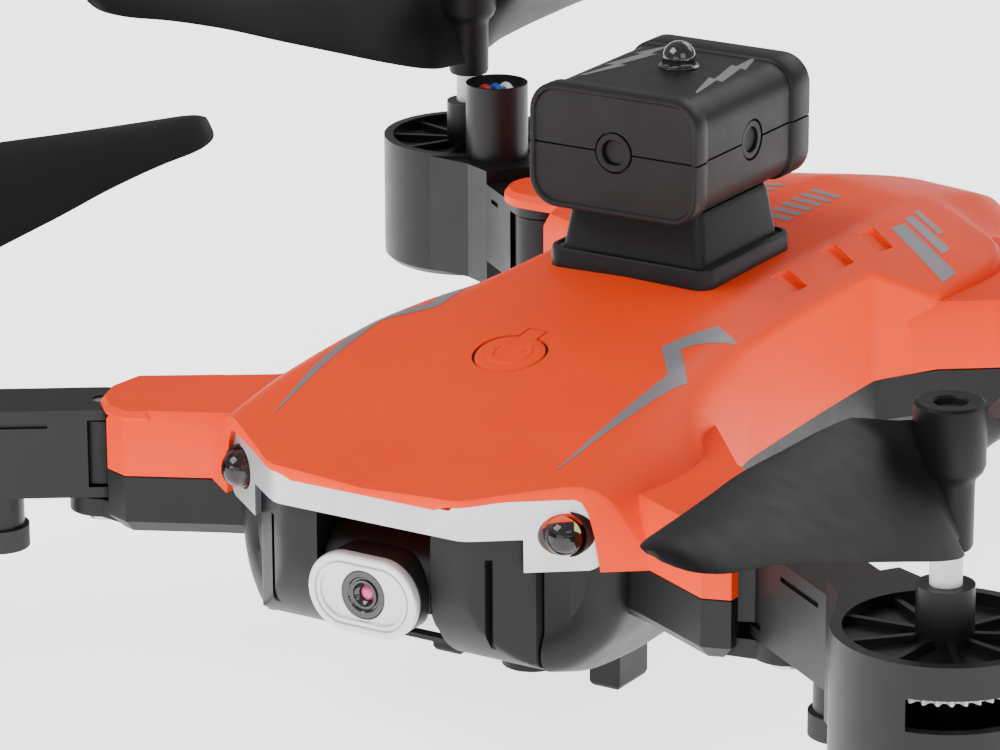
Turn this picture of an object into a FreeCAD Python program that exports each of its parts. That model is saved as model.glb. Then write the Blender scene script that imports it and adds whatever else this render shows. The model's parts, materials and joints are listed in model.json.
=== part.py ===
import FreeCAD
import Part
import math
import os

V = FreeCAD.Vector

# ---------------------------------------------------------------------------
# Folding camera quadcopter, millimetres, nose towards -Y, +Z up.
# Everything is laid out from the midpoint between the two headlight domes and
# is moved at the very end, so that the row's origin is on the ground under the
# middle of the bounding box.
# ---------------------------------------------------------------------------
OUT = "parts"

# whole craft
GROUND = -32.8            # underside of the landing legs
SHIFT_Y = -55.10          # moves the middle of the bounding box to Y = 0
SEAM = -4.8               # orange shell above, black shell below
WALL = 1.6

# headlights and silver nose bezel
LED_X = 24.0
LED_R = 2.5
FACET_X = 13.9            # half width of the bezel's flat middle
FACET_Y = -7.4
SWEEP = math.tan(math.radians(37.5))
BEZEL_END = 27.6
BEZEL_TOP = 4.7
BEZEL_MIDDLE = 3.2        # top of the bezel's flat middle
BEZEL_LOW = -0.5
TAB_X = 19.9
TAB_LOW = -4.8

# camera
CAM_Y = 1.0               # tilt axis
CAM_Z = -9.8
CAM_REACH = 11.8          # room the camera needs about its axis
WINDOW_X = 8.4

# orange hood: y, seam half width, shoulder (x, z), crease (x, z), middle z
HOOD = [
    (-10.0, 29.0, 28.0, 5.2, 12.5, 4.6, 3.9),
    (3.0, 29.2, 28.0, 7.0, 12.5, 6.9, 6.6),
    (16.0, 29.0, 26.6, 10.0, 13.0, 9.7, 9.7),
    (28.0, 27.5, 25.2, 12.0, 14.0, 12.5, 12.6),
    (40.0, 24.8, 23.6, 11.8, 15.0, 13.7, 13.9),
    (50.0, 22.8, 22.0, 10.8, 15.5, 14.2, 14.5),
    (86.0, 21.6, 21.1, 10.5, 15.5, 14.5, 15.3),
    (95.0, 26.8, 26.3, 5.6, 15.0, 14.3, 15.5),
    (110.0, 27.6, 27.2, 6.4, 13.2, 13.2, 15.0),
    (118.0, 25.5, 24.4, 6.6, 12.2, 11.9, 13.4),
    (126.0, 20.4, 18.2, 5.0, 11.2, 10.0, 11.4),
    (140.0, 17.4, 15.4, 2.0, 9.6, 6.6, 7.3),
    (147.0, 15.6, 13.6, 0.4, 8.5, 4.2, 4.6),
]
# black belly: y, seam half width, chine (x, z), keel half width, keel z
BELLY = [
    (-10.0, 28.0, 25.4, -9.0, 15.0, -13.6),
    (-2.0, 28.6, 26.2, -11.0, 18.5, -17.2),
    (6.0, 29.2, 26.6, -12.6, 20.0, -20.6),
    (13.0, 29.0, 26.6, -14.0, 20.0, -23.0),
    (30.0, 27.0, 25.2, -15.0, 19.0, -25.6),
    (50.0, 22.8, 22.0, -15.0, 18.0, -26.2),
    (86.0, 21.6, 21.0, -15.0, 17.6, -26.2),
    (110.0, 22.8, 22.0, -15.0, 17.6, -25.6),
    (130.0, 19.6, 18.6, -14.0, 15.6, -22.0),
    (147.0, 15.6, 14.6, -11.0, 12.0, -16.0),
]

# arm roots and motor pods
FRONT_PIVOT = (51.2, 7.6)
FRONT_POD = (83.2, -14.4)
REAR_PIVOT = (49.5, 116.0)
REAR_POD = (74.8, 135.2)
BLOCK_TOP = 4.0
BLOCK_LOW = -12.8
ARM_LOW = -9.6
ARM_TOP = 2.4
ARM_W = 9.6
FORK = 1.4                # thickness of the arm's two hinge plates
GAP = 0.3
PIN_R = 1.25
POD_R = 13.1
POD_LOW = -14.4
POD_TOP = 4.8
POD_PART = -3.2           # joint line round the pod
POD_WALL = 1.4
DECK = 3.3                # sunk deck under the propeller
WINDOW_W = 19.3           # opening over the wheel at the pod's outer end
BOSS_R = 3.4
BOSS_TOP = 10.0
SHAFT_R = 1.9
COLLAR_LOW = 14.4

# reduction drive
MODULE = 0.5
GEAR_TEETH = 39
PINION_TEETH = 9
CENTRES = MODULE * (GEAR_TEETH + PINION_TEETH) / 2
GEAR_LOW = -1.0
GEAR_TOP = 1.6
MOTOR_R = 4.1
TURRET_R = 4.7

# propeller blade: radius, leading offset, trailing offset, leading z, trailing z
HUB_TOP = 31.7
BLADE = [
    (3.2, 2.6, -3.0, 29.6, 16.4),
    (8.0, 8.2, -7.5, 30.2, 17.4),
    (14.0, 7.9, -9.5, 30.5, 19.0),
    (22.0, 6.9, -10.4, 30.8, 21.4),
    (32.0, 5.8, -10.4, 31.1, 24.3),
    (42.0, 3.6, -10.0, 31.4, 27.2),
    (50.0, 1.8, -9.3, 31.7, 28.9),
    (56.0, 0.4, -8.0, 31.9, 29.7),
    (59.6, -0.9, -5.6, 32.0, 30.6),
]

# obstacle sensing head
HEAD_Y0 = 51.8
HEAD_L = 30.8
HEAD_W = 25.6
HEAD_LOW = 23.8
HEAD_TOP = 40.7
HEAD_EYE_Z = 32.4
HEAD_BASE = 14.0

# battery drawer in the tail
BATT_Y0 = 72.0
BATT_X = 13.5
BATT_LOW = -18.5
BATT_TOP = -7.0
TAIL_CUT = 134.0

nodes = {}


def box(x0, x1, y0, y1, z0, z1):
    return Part.makeBox(x1 - x0, y1 - y0, z1 - z0, V(x0, y0, z0))


def rod(x, y, z0, z1, r):
    return Part.makeCylinder(r, z1 - z0, V(x, y, z0), V(0, 0, 1))


def rod_x(x0, x1, y, z, r):
    return Part.makeCylinder(r, x1 - x0, V(x0, y, z), V(1, 0, 0))


def rod_y(x, y0, y1, z, r):
    return Part.makeCylinder(r, y1 - y0, V(x, y0, z), V(0, 1, 0))


def cone(x, y, z0, z1, r0, r1):
    return Part.makeCone(r0, r1, z1 - z0, V(x, y, z0), V(0, 0, 1))


def face(points):
    wire = Part.makePolygon([V(*p) for p in points] + [V(*points[0])])
    return Part.Face(wire)


def prism(plan, z0, z1):
    return face([(x, y, z0) for x, y in plan]).extrude(V(0, 0, z1 - z0))


def bar_x(profile, x0, x1):
    """A profile of (y, z) points carried along X."""
    return face([(x0, y, z) for y, z in profile]).extrude(V(x1 - x0, 0, 0))


def loft(sections, ruled=True):
    wires = []
    for points in sections:
        wires.append(Part.makePolygon([V(*p) for p in points] + [V(*points[0])]))
    return Part.makeLoft(wires, True, ruled)


def flip(shape):
    return shape.mirror(V(0, 0, 0), V(1, 0, 0))


def both(shape):
    return [shape, flip(shape)]


def join(shapes):
    return shapes[0].fuse(shapes[1:]).removeSplitter()


def turn(shape, centre, angle):
    out = shape.copy()
    out.rotate(V(centre[0], centre[1], 0), V(0, 0, 1), angle)
    return out


def bevel(shape, size, pick):
    edges = [e for e in shape.Edges if pick(e)]
    return shape.makeChamfer(size, edges) if edges else shape


def upright(edge):
    low, high = edge.BoundBox.ZMin, edge.BoundBox.ZMax
    flat = edge.BoundBox.XLength < 1e-6 and edge.BoundBox.YLength < 1e-6
    return flat and high - low > 0.5


# ---------------------------------------------------------------------------
# Nose plan: a flat middle and two facets swept back at 37.5 degrees
# ---------------------------------------------------------------------------
def nose_plan(setback, reach, back):
    """Half-plan pair of the space behind the faceted nose, moved back by setback."""
    y0 = FACET_Y + setback
    x0 = FACET_X
    y1 = y0 + (reach - x0) * SWEEP
    return [(-reach, back), (-reach, y1), (-x0, y0), (x0, y0), (reach, y1), (reach, back)]


def hood_sections(inset=0.0, drop=0.0):
    out = []
    for y, s, ex, ez, cx, cz, mz in HOOD:
        low = SEAM - drop
        half = [(s - inset, low), (ex - inset, ez - inset), (cx - 0.5 * inset, cz - inset)]
        left = [(-x, y, z) for x, z in half]
        right = [(x, y, z) for x, z in reversed(half)]
        out.append(left + [(0, y, mz - inset)] + right)
    return out


def belly_sections(inset=0.0, rise=0.0):
    out = []
    for y, s, cx, cz, kx, kz in BELLY:
        half = [(s - inset, SEAM + rise), (cx - inset, cz + 0.3 * inset), (kx - inset, kz + inset)]
        left = [(-x, y, z) for x, z in half]
        right = [(x, y, z) for x, z in reversed(half)]
        out.append(left + right)
    return out


hood = loft(hood_sections())
hood = hood.common(prism(nose_plan(-0.5, 40, 200), -40, 40))
hollow = loft(hood_sections(WALL, 0.2))
hollow = hollow.common(prism(nose_plan(WALL, 40, 144), -40, 40))

belly = loft(belly_sections())
belly_room = loft(belly_sections(WALL, 0.2))
belly_room = belly_room.common(box(-40, 40, 9, 200, -40, 10))


# ---------------------------------------------------------------------------
# Shoulder blocks that carry the arm pivots (right side, mirrored later)
# ---------------------------------------------------------------------------
def away(start, angle, length, side=0.0):
    a = math.radians(angle)
    x = start[0] + length * math.cos(a) - side * math.sin(a)
    y = start[1] + length * math.sin(a) + side * math.cos(a)
    return (x, y)


def strip(start, angle, length, width, z0, z1, back=0.0):
    """A straight bar of the given width that leaves start at an angle."""
    h = width / 2
    corners = [(-back, -h), (length, -h), (length, h), (-back, h)]
    return prism([away(start, angle, u, v) for u, v in corners], z0, z1)


px, py = FRONT_PIVOT
front_plan = [(24, 9.5), (31.0, 6.6), (42.8, 0.7), (46.4, 1.9), (46.4, 17.0), (35.3, 24.5), (22, 40)]
front_lip = [(40, 2.3), (42.8, 0.7), (46.4, 1.9), (49.4, 4.8), (50.9, 9.0), (50.4, 14.4), (40, 21.3)]
front_top = prism(front_plan, SEAM, BLOCK_TOP)
front_top = front_top.makeChamfer(1.8, [e for e in front_top.Edges if e.BoundBox.ZMin > 3.9])
front_low = prism(front_plan, BLOCK_LOW, SEAM)
front_low = front_low.makeChamfer(1.8, [e for e in front_low.Edges if e.BoundBox.ZMax < -12.7])
lip_low = ARM_TOP + GAP
front_cover = prism(front_lip, lip_low, BLOCK_TOP)
front_cover = front_cover.makeChamfer(0.7, [e for e in front_cover.Edges if e.BoundBox.ZMin > 3.9])
front_swing = rod(px, py, ARM_LOW - GAP, lip_low, ARM_W / 2 + 0.9)
knuckle = rod(px, py, ARM_LOW + FORK + GAP, ARM_TOP - FORK - GAP, 4.4)
knuckle = knuckle.fuse(strip(FRONT_PIVOT, 200, 7.5, 4.4, ARM_LOW + FORK + GAP, ARM_TOP - FORK - GAP))
pin_hole_front = rod(px, py, -40, 10, PIN_R)
front_foot = rod(px, py, BLOCK_LOW + 0.4, ARM_LOW - GAP, 4.6)
front_foot = front_foot.fuse(strip(FRONT_PIVOT, 190, 8.0, 7.0, BLOCK_LOW + 0.4, ARM_LOW - GAP))

qx, qy = REAR_PIVOT
rear_angle = math.degrees(math.atan2(REAR_POD[1] - qy, REAR_POD[0] - qx))
rear_plan = [(18, 84), (21.8, 88.6), (27.5, 92.3), (34.8, 97.7), (42.2, 103.6), (43.2, 108.0)]
rear_plan += [(43.2, 121.0), (36.0, 125.0), (18, 130)]
rear_top = prism(rear_plan, SEAM, BLOCK_TOP + 0.8)
rear_top = rear_top.makeChamfer(1.8, [e for e in rear_top.Edges if e.BoundBox.ZMin > 4.7])
rear_low = prism(rear_plan, BLOCK_LOW, SEAM)
rear_low = rear_low.makeChamfer(1.8, [e for e in rear_low.Edges if e.BoundBox.ZMax < -12.7])
rear_cover = rod(qx, qy, lip_low, BLOCK_TOP + 0.8, 6.0)
rear_cover = rear_cover.fuse(strip(REAR_PIVOT, 185, 9.0, 12.0, lip_low, BLOCK_TOP + 0.8))
rear_swing = rod(qx, qy, ARM_LOW - GAP, lip_low, ARM_W / 2 + 0.9)
rear_knuckle = rod(qx, qy, ARM_LOW + FORK + GAP, ARM_TOP - FORK - GAP, 4.4)
rear_knuckle = rear_knuckle.fuse(
    strip(REAR_PIVOT, 165, 8.5, 4.4, ARM_LOW + FORK + GAP, ARM_TOP - FORK - GAP))
rear_foot = rod(qx, qy, BLOCK_LOW + 0.4, ARM_LOW - GAP, 4.6)
rear_foot = rear_foot.fuse(strip(REAR_PIVOT, 180, 9.0, 7.0, BLOCK_LOW + 0.4, ARM_LOW - GAP))
pin_hole_rear = rod(qx, qy, -40, 10, PIN_R)

# ---------------------------------------------------------------------------
# Upper shell
# ---------------------------------------------------------------------------
BUTTON = (0.0, 26.3)
upper = hood
for block in both(front_top.fuse(front_cover)):
    upper = upper.fuse(block)
for block in both(rear_top.fuse(rear_cover)):
    upper = upper.fuse(block)
upper = upper.cut(hollow)
for room in both(front_swing) + both(rear_swing):
    upper = upper.cut(room)
for post in both(knuckle.fuse(rear_knuckle)):
    upper = upper.cut(post)
bezel_room = prism(nose_plan(-3.0, BEZEL_END + 0.2, 12.0), -30, BEZEL_TOP + 0.1)
upper = upper.cut(bezel_room)
upper = upper.cut(rod(BUTTON[0], BUTTON[1], 0, 30, 4.9))
upper = upper.cut(box(-1.5, 1.5, BUTTON[1], BUTTON[1] + 7.2, 9.5, 30))
upper = upper.cut(box(-9.2, 9.2, 59.0, 75.0, 0, 30))
for y in (69.1, 82.3, 93.8):
    dimple = prism([(15.9, y - 2.2), (18.6, y - 2.2), (18.6, y + 2.6)], 12.2, 20)
    for cutter in both(dimple):
        upper = upper.cut(cutter)
nodes["upper_shell"] = upper.removeSplitter()

# ---------------------------------------------------------------------------
# Lower shell, with landing legs
# ---------------------------------------------------------------------------
lower = belly.common(box(-60, 60, -8, TAIL_CUT, -40, SEAM))
lower = lower.common(prism(nose_plan(0.3, 40, 200), -40, 10))
for block in both(front_low.fuse(front_foot)):
    lower = lower.fuse(block)
for block in both(rear_low.fuse(rear_foot)):
    lower = lower.fuse(block)
lower = lower.cut(belly_room.common(box(-60, 60, 9, TAIL_CUT - WALL, -40, 10)))
for room in both(front_swing) + both(rear_swing):
    lower = lower.cut(room)
for shape in both(knuckle.fuse(rear_knuckle)):
    lower = lower.fuse(shape)
lower = lower.cut(box(-20.7, 20.7, -20, 8.0, -40, 0))
lower = lower.cut(box(-WINDOW_X, WINDOW_X, -20, CAM_Y + CAM_REACH, -40, 0).common(
    rod_x(-WINDOW_X, WINDOW_X, CAM_Y, CAM_Z, CAM_REACH)))
front_legs = box(9.8, 14.4, 29.6, 37.2, GROUND, -23)
rear_legs = box(9.8, 14.4, 104.0, 111.6, GROUND, -23)
for leg in both(front_legs) + both(rear_legs):
    leg = bevel(leg, 0.8, upright)
    lower = lower.fuse(leg)
for hole in both(pin_hole_front) + both(pin_hole_rear):
    lower = lower.cut(hole)
# drawer rails: floor and walls of the battery bay
bay = box(-BATT_X - 1.4, BATT_X + 1.4, BATT_Y0 - 1.8, TAIL_CUT, BATT_LOW - 1.4, BATT_TOP + 1.4)
bay = bay.cut(box(-BATT_X - 0.3, BATT_X + 0.3, BATT_Y0 - 0.4, 160, BATT_LOW - 0.3, BATT_TOP + 0.3))
lower = lower.fuse(bay.common(belly))
lower = lower.cut(box(-BATT_X - 0.3, BATT_X + 0.3, BATT_Y0 - 0.4, 160, BATT_LOW - 0.3, BATT_TOP + 0.3))
lower = lower.cut(rod(0, 31.5, -40, -20, 4.1))
nodes["lower_shell"] = lower.removeSplitter()

# ---------------------------------------------------------------------------
# Nose: bezel, frame, headlights
# ---------------------------------------------------------------------------
plate = prism(nose_plan(0.0, BEZEL_END, 20), TAB_LOW, BEZEL_TOP)
plate = plate.cut(prism(nose_plan(1.3, 60, 60), -20, 20))
plate = plate.cut(box(-TAB_X, TAB_X, -20, 20, -20, BEZEL_LOW))
dip = [(-12.5, BEZEL_MIDDLE), (12.5, BEZEL_MIDDLE), (14.5, 9), (-14.5, 9)]
plate = plate.cut(face([(x, -20, z) for x, z in dip]).extrude(V(0, 40, 0)))
for led in both(rod_y(LED_X, -9, 9, 0, LED_R + 0.25)):
    plate = plate.cut(led)
nodes["nose_bezel"] = plate

for side, name in ((-1, "headlight_left"), (1, "headlight_right")):
    x = side * LED_X
    led = Part.makeSphere(LED_R, V(x, 0, 0)).fuse(rod_y(x, 0, 6.4, 0, LED_R))
    led = led.fuse(rod_y(x, 5.4, 6.4, 0, 2.9))
    nodes[name] = led.removeSplitter()

curve = [(-5.9, -0.6), (-6.1, -4.0), (-6.0, -8.5), (-5.2, -12.0), (-3.6, -15.0), (-1.2, -17.4)]
curve += [(2.2, -19.2), (7.7, -20.4), (7.7, -0.6)]
frame = bar_x(curve, -20.4, 20.4)
frame = frame.common(prism(nose_plan(1.4, 60, 60), -40, 10))
frame = frame.cut(bar_x([(-4.2, -2.4), (-4.2, -9.0), (-1.6, -14.6), (2.4, -17.2), (9, -18.4), (9, -2.4)], -18.6, 18.6))
cheeks = box(WINDOW_X + 0.3, WINDOW_X + 2.3, -4.4, 5.0, -17.0, -2.0)
for cheek in both(cheeks):
    frame = frame.fuse(cheek)
frame = frame.cut(rod_x(-WINDOW_X, WINDOW_X, CAM_Y, CAM_Z, CAM_REACH).cut(box(-9, 9, -20, 20, -3.8, 10)))
frame = frame.cut(box(-WINDOW_X, WINDOW_X, -20, -2, -16, -3.8))
frame = frame.cut(rod_x(-12, 12, CAM_Y, CAM_Z, 1.55))
for x in (-16.6, 15.6):
    frame = frame.cut(box(x, x + 0.7, -8, -3.2, -15.4, -3.6))
nodes["nose_frame"] = frame.removeSplitter()


# ---------------------------------------------------------------------------
# Camera on its tilt axis
# ---------------------------------------------------------------------------
def stadium(width, height, y0, y1):
    r = height / 2
    x = width / 2 - r
    body = box(-x, x, y0, y1, CAM_Z - r, CAM_Z + r)
    return join([body, rod_y(-x, y0, y1, CAM_Z, r), rod_y(x, y0, y1, CAM_Z, r)])


body = rod_x(-7.9, 7.9, CAM_Y, CAM_Z, 6.4).fuse(rod_x(-10.4, 10.4, CAM_Y, CAM_Z, 1.5))
body = body.cut(rod_y(0, -12, CAM_Y + 3.0, CAM_Z, 3.3))
nodes["camera_body"] = body.removeSplitter()
barrel = stadium(15.4, 9.8, -7.6, -3.4).cut(rod_x(-9, 9, CAM_Y, CAM_Z, 6.4))
barrel = barrel.cut(rod_y(0, -12, 4, CAM_Z, 3.3))
nodes["camera_barrel"] = barrel
ring = stadium(15.9, 10.4, -8.9, -7.6).cut(rod_y(0, -12, 4, CAM_Z, 3.3))
nodes["camera_ring"] = ring
lens = rod_y(0, -8.5, CAM_Y + 2.9, CAM_Z, 3.2).cut(rod_y(0, -9, -6.8, CAM_Z, 1.5))
nodes["camera_lens_barrel"] = lens
nodes["camera_glass"] = rod_y(0, -7.3, -6.8, CAM_Z, 1.45)

# ---------------------------------------------------------------------------
# Power button, its switch and the main board
# ---------------------------------------------------------------------------
bx, by = BUTTON
button = rod(bx, by, 8.9, 30, 4.6).common(hood)
button = button.cut(rod(bx, by, 0, 9.6, 3.4))
tongue = box(bx - 1.2, bx + 1.2, by + 3.0, by + 6.9, 9.8, 30).common(hood)
button = button.fuse([rod(bx, by, 7.4, 9.8, 1.4), tongue]).removeSplitter()
nodes["power_button"] = button
nodes["power_switch"] = box(-3, 3, by - 3, by + 3, 1.6, 5.4).fuse(rod(bx, by, 5.4, 6.4, 1.5)).removeSplitter()
board = box(-17, 17, 14, 66, 0.0, 1.6)
nodes["main_board"] = board

# ---------------------------------------------------------------------------
# Optical flow eye under the belly
# ---------------------------------------------------------------------------
eye = rod(0, 31.5, -32.0, -20.5, 4.0).cut(cone(0, 31.5, -32.2, -30.2, 3.2, 1.8))
nodes["flow_sensor"] = eye

# ---------------------------------------------------------------------------
# Obstacle sensing head, plugged into the hood
# ---------------------------------------------------------------------------
hx = HEAD_W / 2
hy1 = HEAD_Y0 + HEAD_L
hyc = (HEAD_Y0 + hy1) / 2


def rounded(x, y0, y1, z0, z1, r):
    """A bar along Y with its four long edges rounded."""
    bar = box(-x, x, y0, y1, z0, z1)
    long_edges = [e for e in bar.Edges if e.BoundBox.YLength > 1]
    return bar.makeFillet(r, long_edges)


shell = rounded(hx, HEAD_Y0, hy1, HEAD_LOW, HEAD_TOP, 3.2)
room = rounded(hx - 1.4, HEAD_Y0 + 1.4, hy1 - 1.4, HEAD_LOW + 1.4, HEAD_TOP - 1.4, 2.0)
shell = shell.cut(room)
middle = rod_y(0, HEAD_Y0 - 1, hy1 + 1, HEAD_EYE_Z, 1.72).fuse(rod_x(-20, 20, hyc, HEAD_EYE_Z, 1.72))
shell = shell.cut(middle)
shell = shell.cut(rod(0, HEAD_Y0 + 17.4, HEAD_TOP - 3, HEAD_TOP + 2, 2.3))
big = 60
upper_half = box(-big, big, -big, 2 * big, HEAD_EYE_Z, 80)
nodes["head_upper"] = shell.common(upper_half)
nodes["head_lower"] = shell.cut(upper_half).cut(box(-6.4, 6.4, hyc - 2.4, hyc + 2.4, 20, 26))

lo = HEAD_BASE
foot = loft([
    [(-10.8, hyc - 10.8, lo + 1.2), (10.8, hyc - 10.8, lo + 1.2),
     (10.8, hyc + 10.8, lo + 1.2), (-10.8, hyc + 10.8, lo + 1.2)],
    [(-9.8, hyc - 9.8, HEAD_LOW), (9.8, hyc - 9.8, HEAD_LOW),
     (9.8, hyc + 9.8, HEAD_LOW), (-9.8, hyc + 9.8, HEAD_LOW)],
])
flange = box(-12.4, 12.4, hyc - 12.0, hyc + 12.0, lo, lo + 3.2)
flange = bevel(flange, 2.0, upright)
seat = hood.copy()
seat.translate(V(0, 0, 0.15))
foot = foot.fuse(flange).cut(seat)
foot = foot.cut(box(-6.3, 6.3, hyc - 6.3, hyc + 6.3, lo - 1, HEAD_LOW - 1.5))
foot = foot.cut(box(-6.4, 6.4, hyc - 2.4, hyc + 2.4, HEAD_LOW - 2, HEAD_LOW + 1))
nodes["head_base"] = foot.removeSplitter()
plug = box(-6.2, 6.2, hyc - 2.2, hyc + 2.2, 8.0, HEAD_LOW + 2.6)
nodes["head_plug"] = plug
nodes["head_board"] = box(-9.5, 9.5, HEAD_Y0 + 3, hy1 - 3, HEAD_LOW + 2.7, HEAD_LOW + 4.1)
eyes = []
for y0, y1 in ((HEAD_Y0 + 1.0, HEAD_Y0 + 5.0), (hy1 - 5.0, hy1 - 1.0)):
    eyes.append(rod_y(0, y0, y1, HEAD_EYE_Z, 1.6))
for x0, x1 in ((-hx + 1.0, -hx + 5.0), (hx - 5.0, hx - 1.0)):
    eyes.append(rod_x(x0, x1, hyc, HEAD_EYE_Z, 1.6))
nodes["head_emitters"] = Part.makeCompound(eyes)
dy = HEAD_Y0 + 17.4
dome = Part.makeSphere(2.25, V(0, dy, HEAD_TOP + 0.9)).common(box(-9, 9, 0, 200, HEAD_TOP, 60))
dome = dome.fuse(rod(0, dy, HEAD_TOP - 2.6, HEAD_TOP + 0.9, 2.25))
dome = dome.fuse(rod(0, dy, HEAD_TOP, HEAD_TOP + 0.6, 2.75)).removeSplitter()
nodes["head_dome"] = dome

# ---------------------------------------------------------------------------
# Battery drawer
# ---------------------------------------------------------------------------
end = belly.common(box(-60, 60, TAIL_CUT + 0.3, 200, -40, SEAM - 0.3))
end = end.cut(belly_room.common(box(-60, 60, 0, 147 - 1.8, -40, 10)).cut(
    box(-60, 60, 0, TAIL_CUT + 2.2, -40, 10)))
case = box(-BATT_X, BATT_X, BATT_Y0, TAIL_CUT + 2.3, BATT_LOW, BATT_TOP)
case = case.cut(box(-BATT_X + 1.2, BATT_X - 1.2, BATT_Y0 + 1.2, TAIL_CUT, BATT_LOW + 1.2, BATT_TOP - 1.2))
case = case.fuse(end)
latch_room = box(-5.3, 5.3, 141.0, 150, -12.3, -6.5)
case = case.cut(latch_room)
nodes["battery_case"] = case.removeSplitter()
nodes["battery_cell"] = box(-12.0, 12.0, 74.0, 131.0, BATT_LOW + 1.4, BATT_TOP - 1.4)
latch = box(-5.0, 5.0, 142.2, 147.9, -12.0, -6.8)
latch = latch.cut(box(-6, 6, 147.2, 150, -9.2, -8.8))
latch = latch.cut(box(-6, 6, 147.2, 150, -10.6, -10.2))
nodes["battery_latch"] = latch

# ---------------------------------------------------------------------------
# Screws
# ---------------------------------------------------------------------------
pins = []
for x, y in (FRONT_PIVOT, REAR_PIVOT):
    pin = rod(x, y, BLOCK_LOW - 0.9, ARM_TOP - 0.2, PIN_R - 0.005)
    pin = pin.fuse(rod(x, y, BLOCK_LOW - 0.9, BLOCK_LOW + 0.4, 2.2))
    pin = pin.cut(box(x - 0.3, x + 0.3, y - 1.5, y + 1.5, BLOCK_LOW - 1.5, BLOCK_LOW - 0.4))
    pins += both(pin.removeSplitter())
nodes["pivot_screws"] = Part.makeCompound(pins)
screws = []
for x, y, z in ((17.0, 20.0, -23.9), (16.0, 60.0, -26.2), (16.0, 98.0, -25.9)):
    head = rod(x, y, z - 0.4, z + 1.4, 1.7)
    screw = head.fuse(rod(x, y, z, z + 9, 0.9)).removeSplitter()
    screws += both(screw)
nodes["shell_screws"] = Part.makeCompound(screws)
for screw in screws:
    nodes["lower_shell"] = nodes["lower_shell"].cut(screw)


# ---------------------------------------------------------------------------
# Gears
# ---------------------------------------------------------------------------
def gear_outline(teeth, phase, thick):
    """Involute teeth, pressure angle 25 degrees; phase in degrees puts a tooth there."""
    pitch = MODULE * teeth / 2
    base = pitch * math.cos(math.radians(25))
    outer = pitch + 0.8 * MODULE
    root = pitch - 1.15 * MODULE

    def inv(r):
        if r <= base:
            return 0.0
        a = math.acos(base / r)
        return math.tan(a) - a

    half = thick / 2 / pitch + inv(pitch)
    radii = [root, max(root + 0.05, base), pitch, outer]
    points = []
    for n in range(teeth):
        middle = math.radians(phase) + 2 * math.pi * n / teeth
        left = [(r, middle - half + inv(r)) for r in radii]
        right = [(r, middle + half - inv(r)) for r in reversed(radii)]
        for r, a in left + right:
            points.append((r * math.cos(a), r * math.sin(a)))
    return points


def gear(centre, teeth, phase, z0, z1, thick=0.62):
    plan = [(centre[0] + x, centre[1] + y) for x, y in gear_outline(teeth, phase, thick)]
    return prism(plan, z0, z1)


# ---------------------------------------------------------------------------
# One arm: pod, drive and propeller. side is 1 on the right and -1 on the left.
# ---------------------------------------------------------------------------
def blade(centre, angle, clockwise):
    lead = -1.0 if clockwise else 1.0
    sections = []
    for r, le, te, zl, zt in BLADE:
        thick = 1.5 if r < 12 else 1.1 - 0.008 * r
        points = []
        for f, lift in ((0.0, 0.0), (0.3, 0.5), (0.7, 0.5), (1.0, 0.0), (0.7, -0.5), (0.3, -0.5)):
            v = te + (le - te) * f
            z = zt + (zl - zt) * f + 0.9 * math.sin(math.pi * f) + lift * thick
            points.append(away(centre, angle, r, lead * v) + (z,))
        sections.append(points)
    return loft(sections, False)


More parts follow.
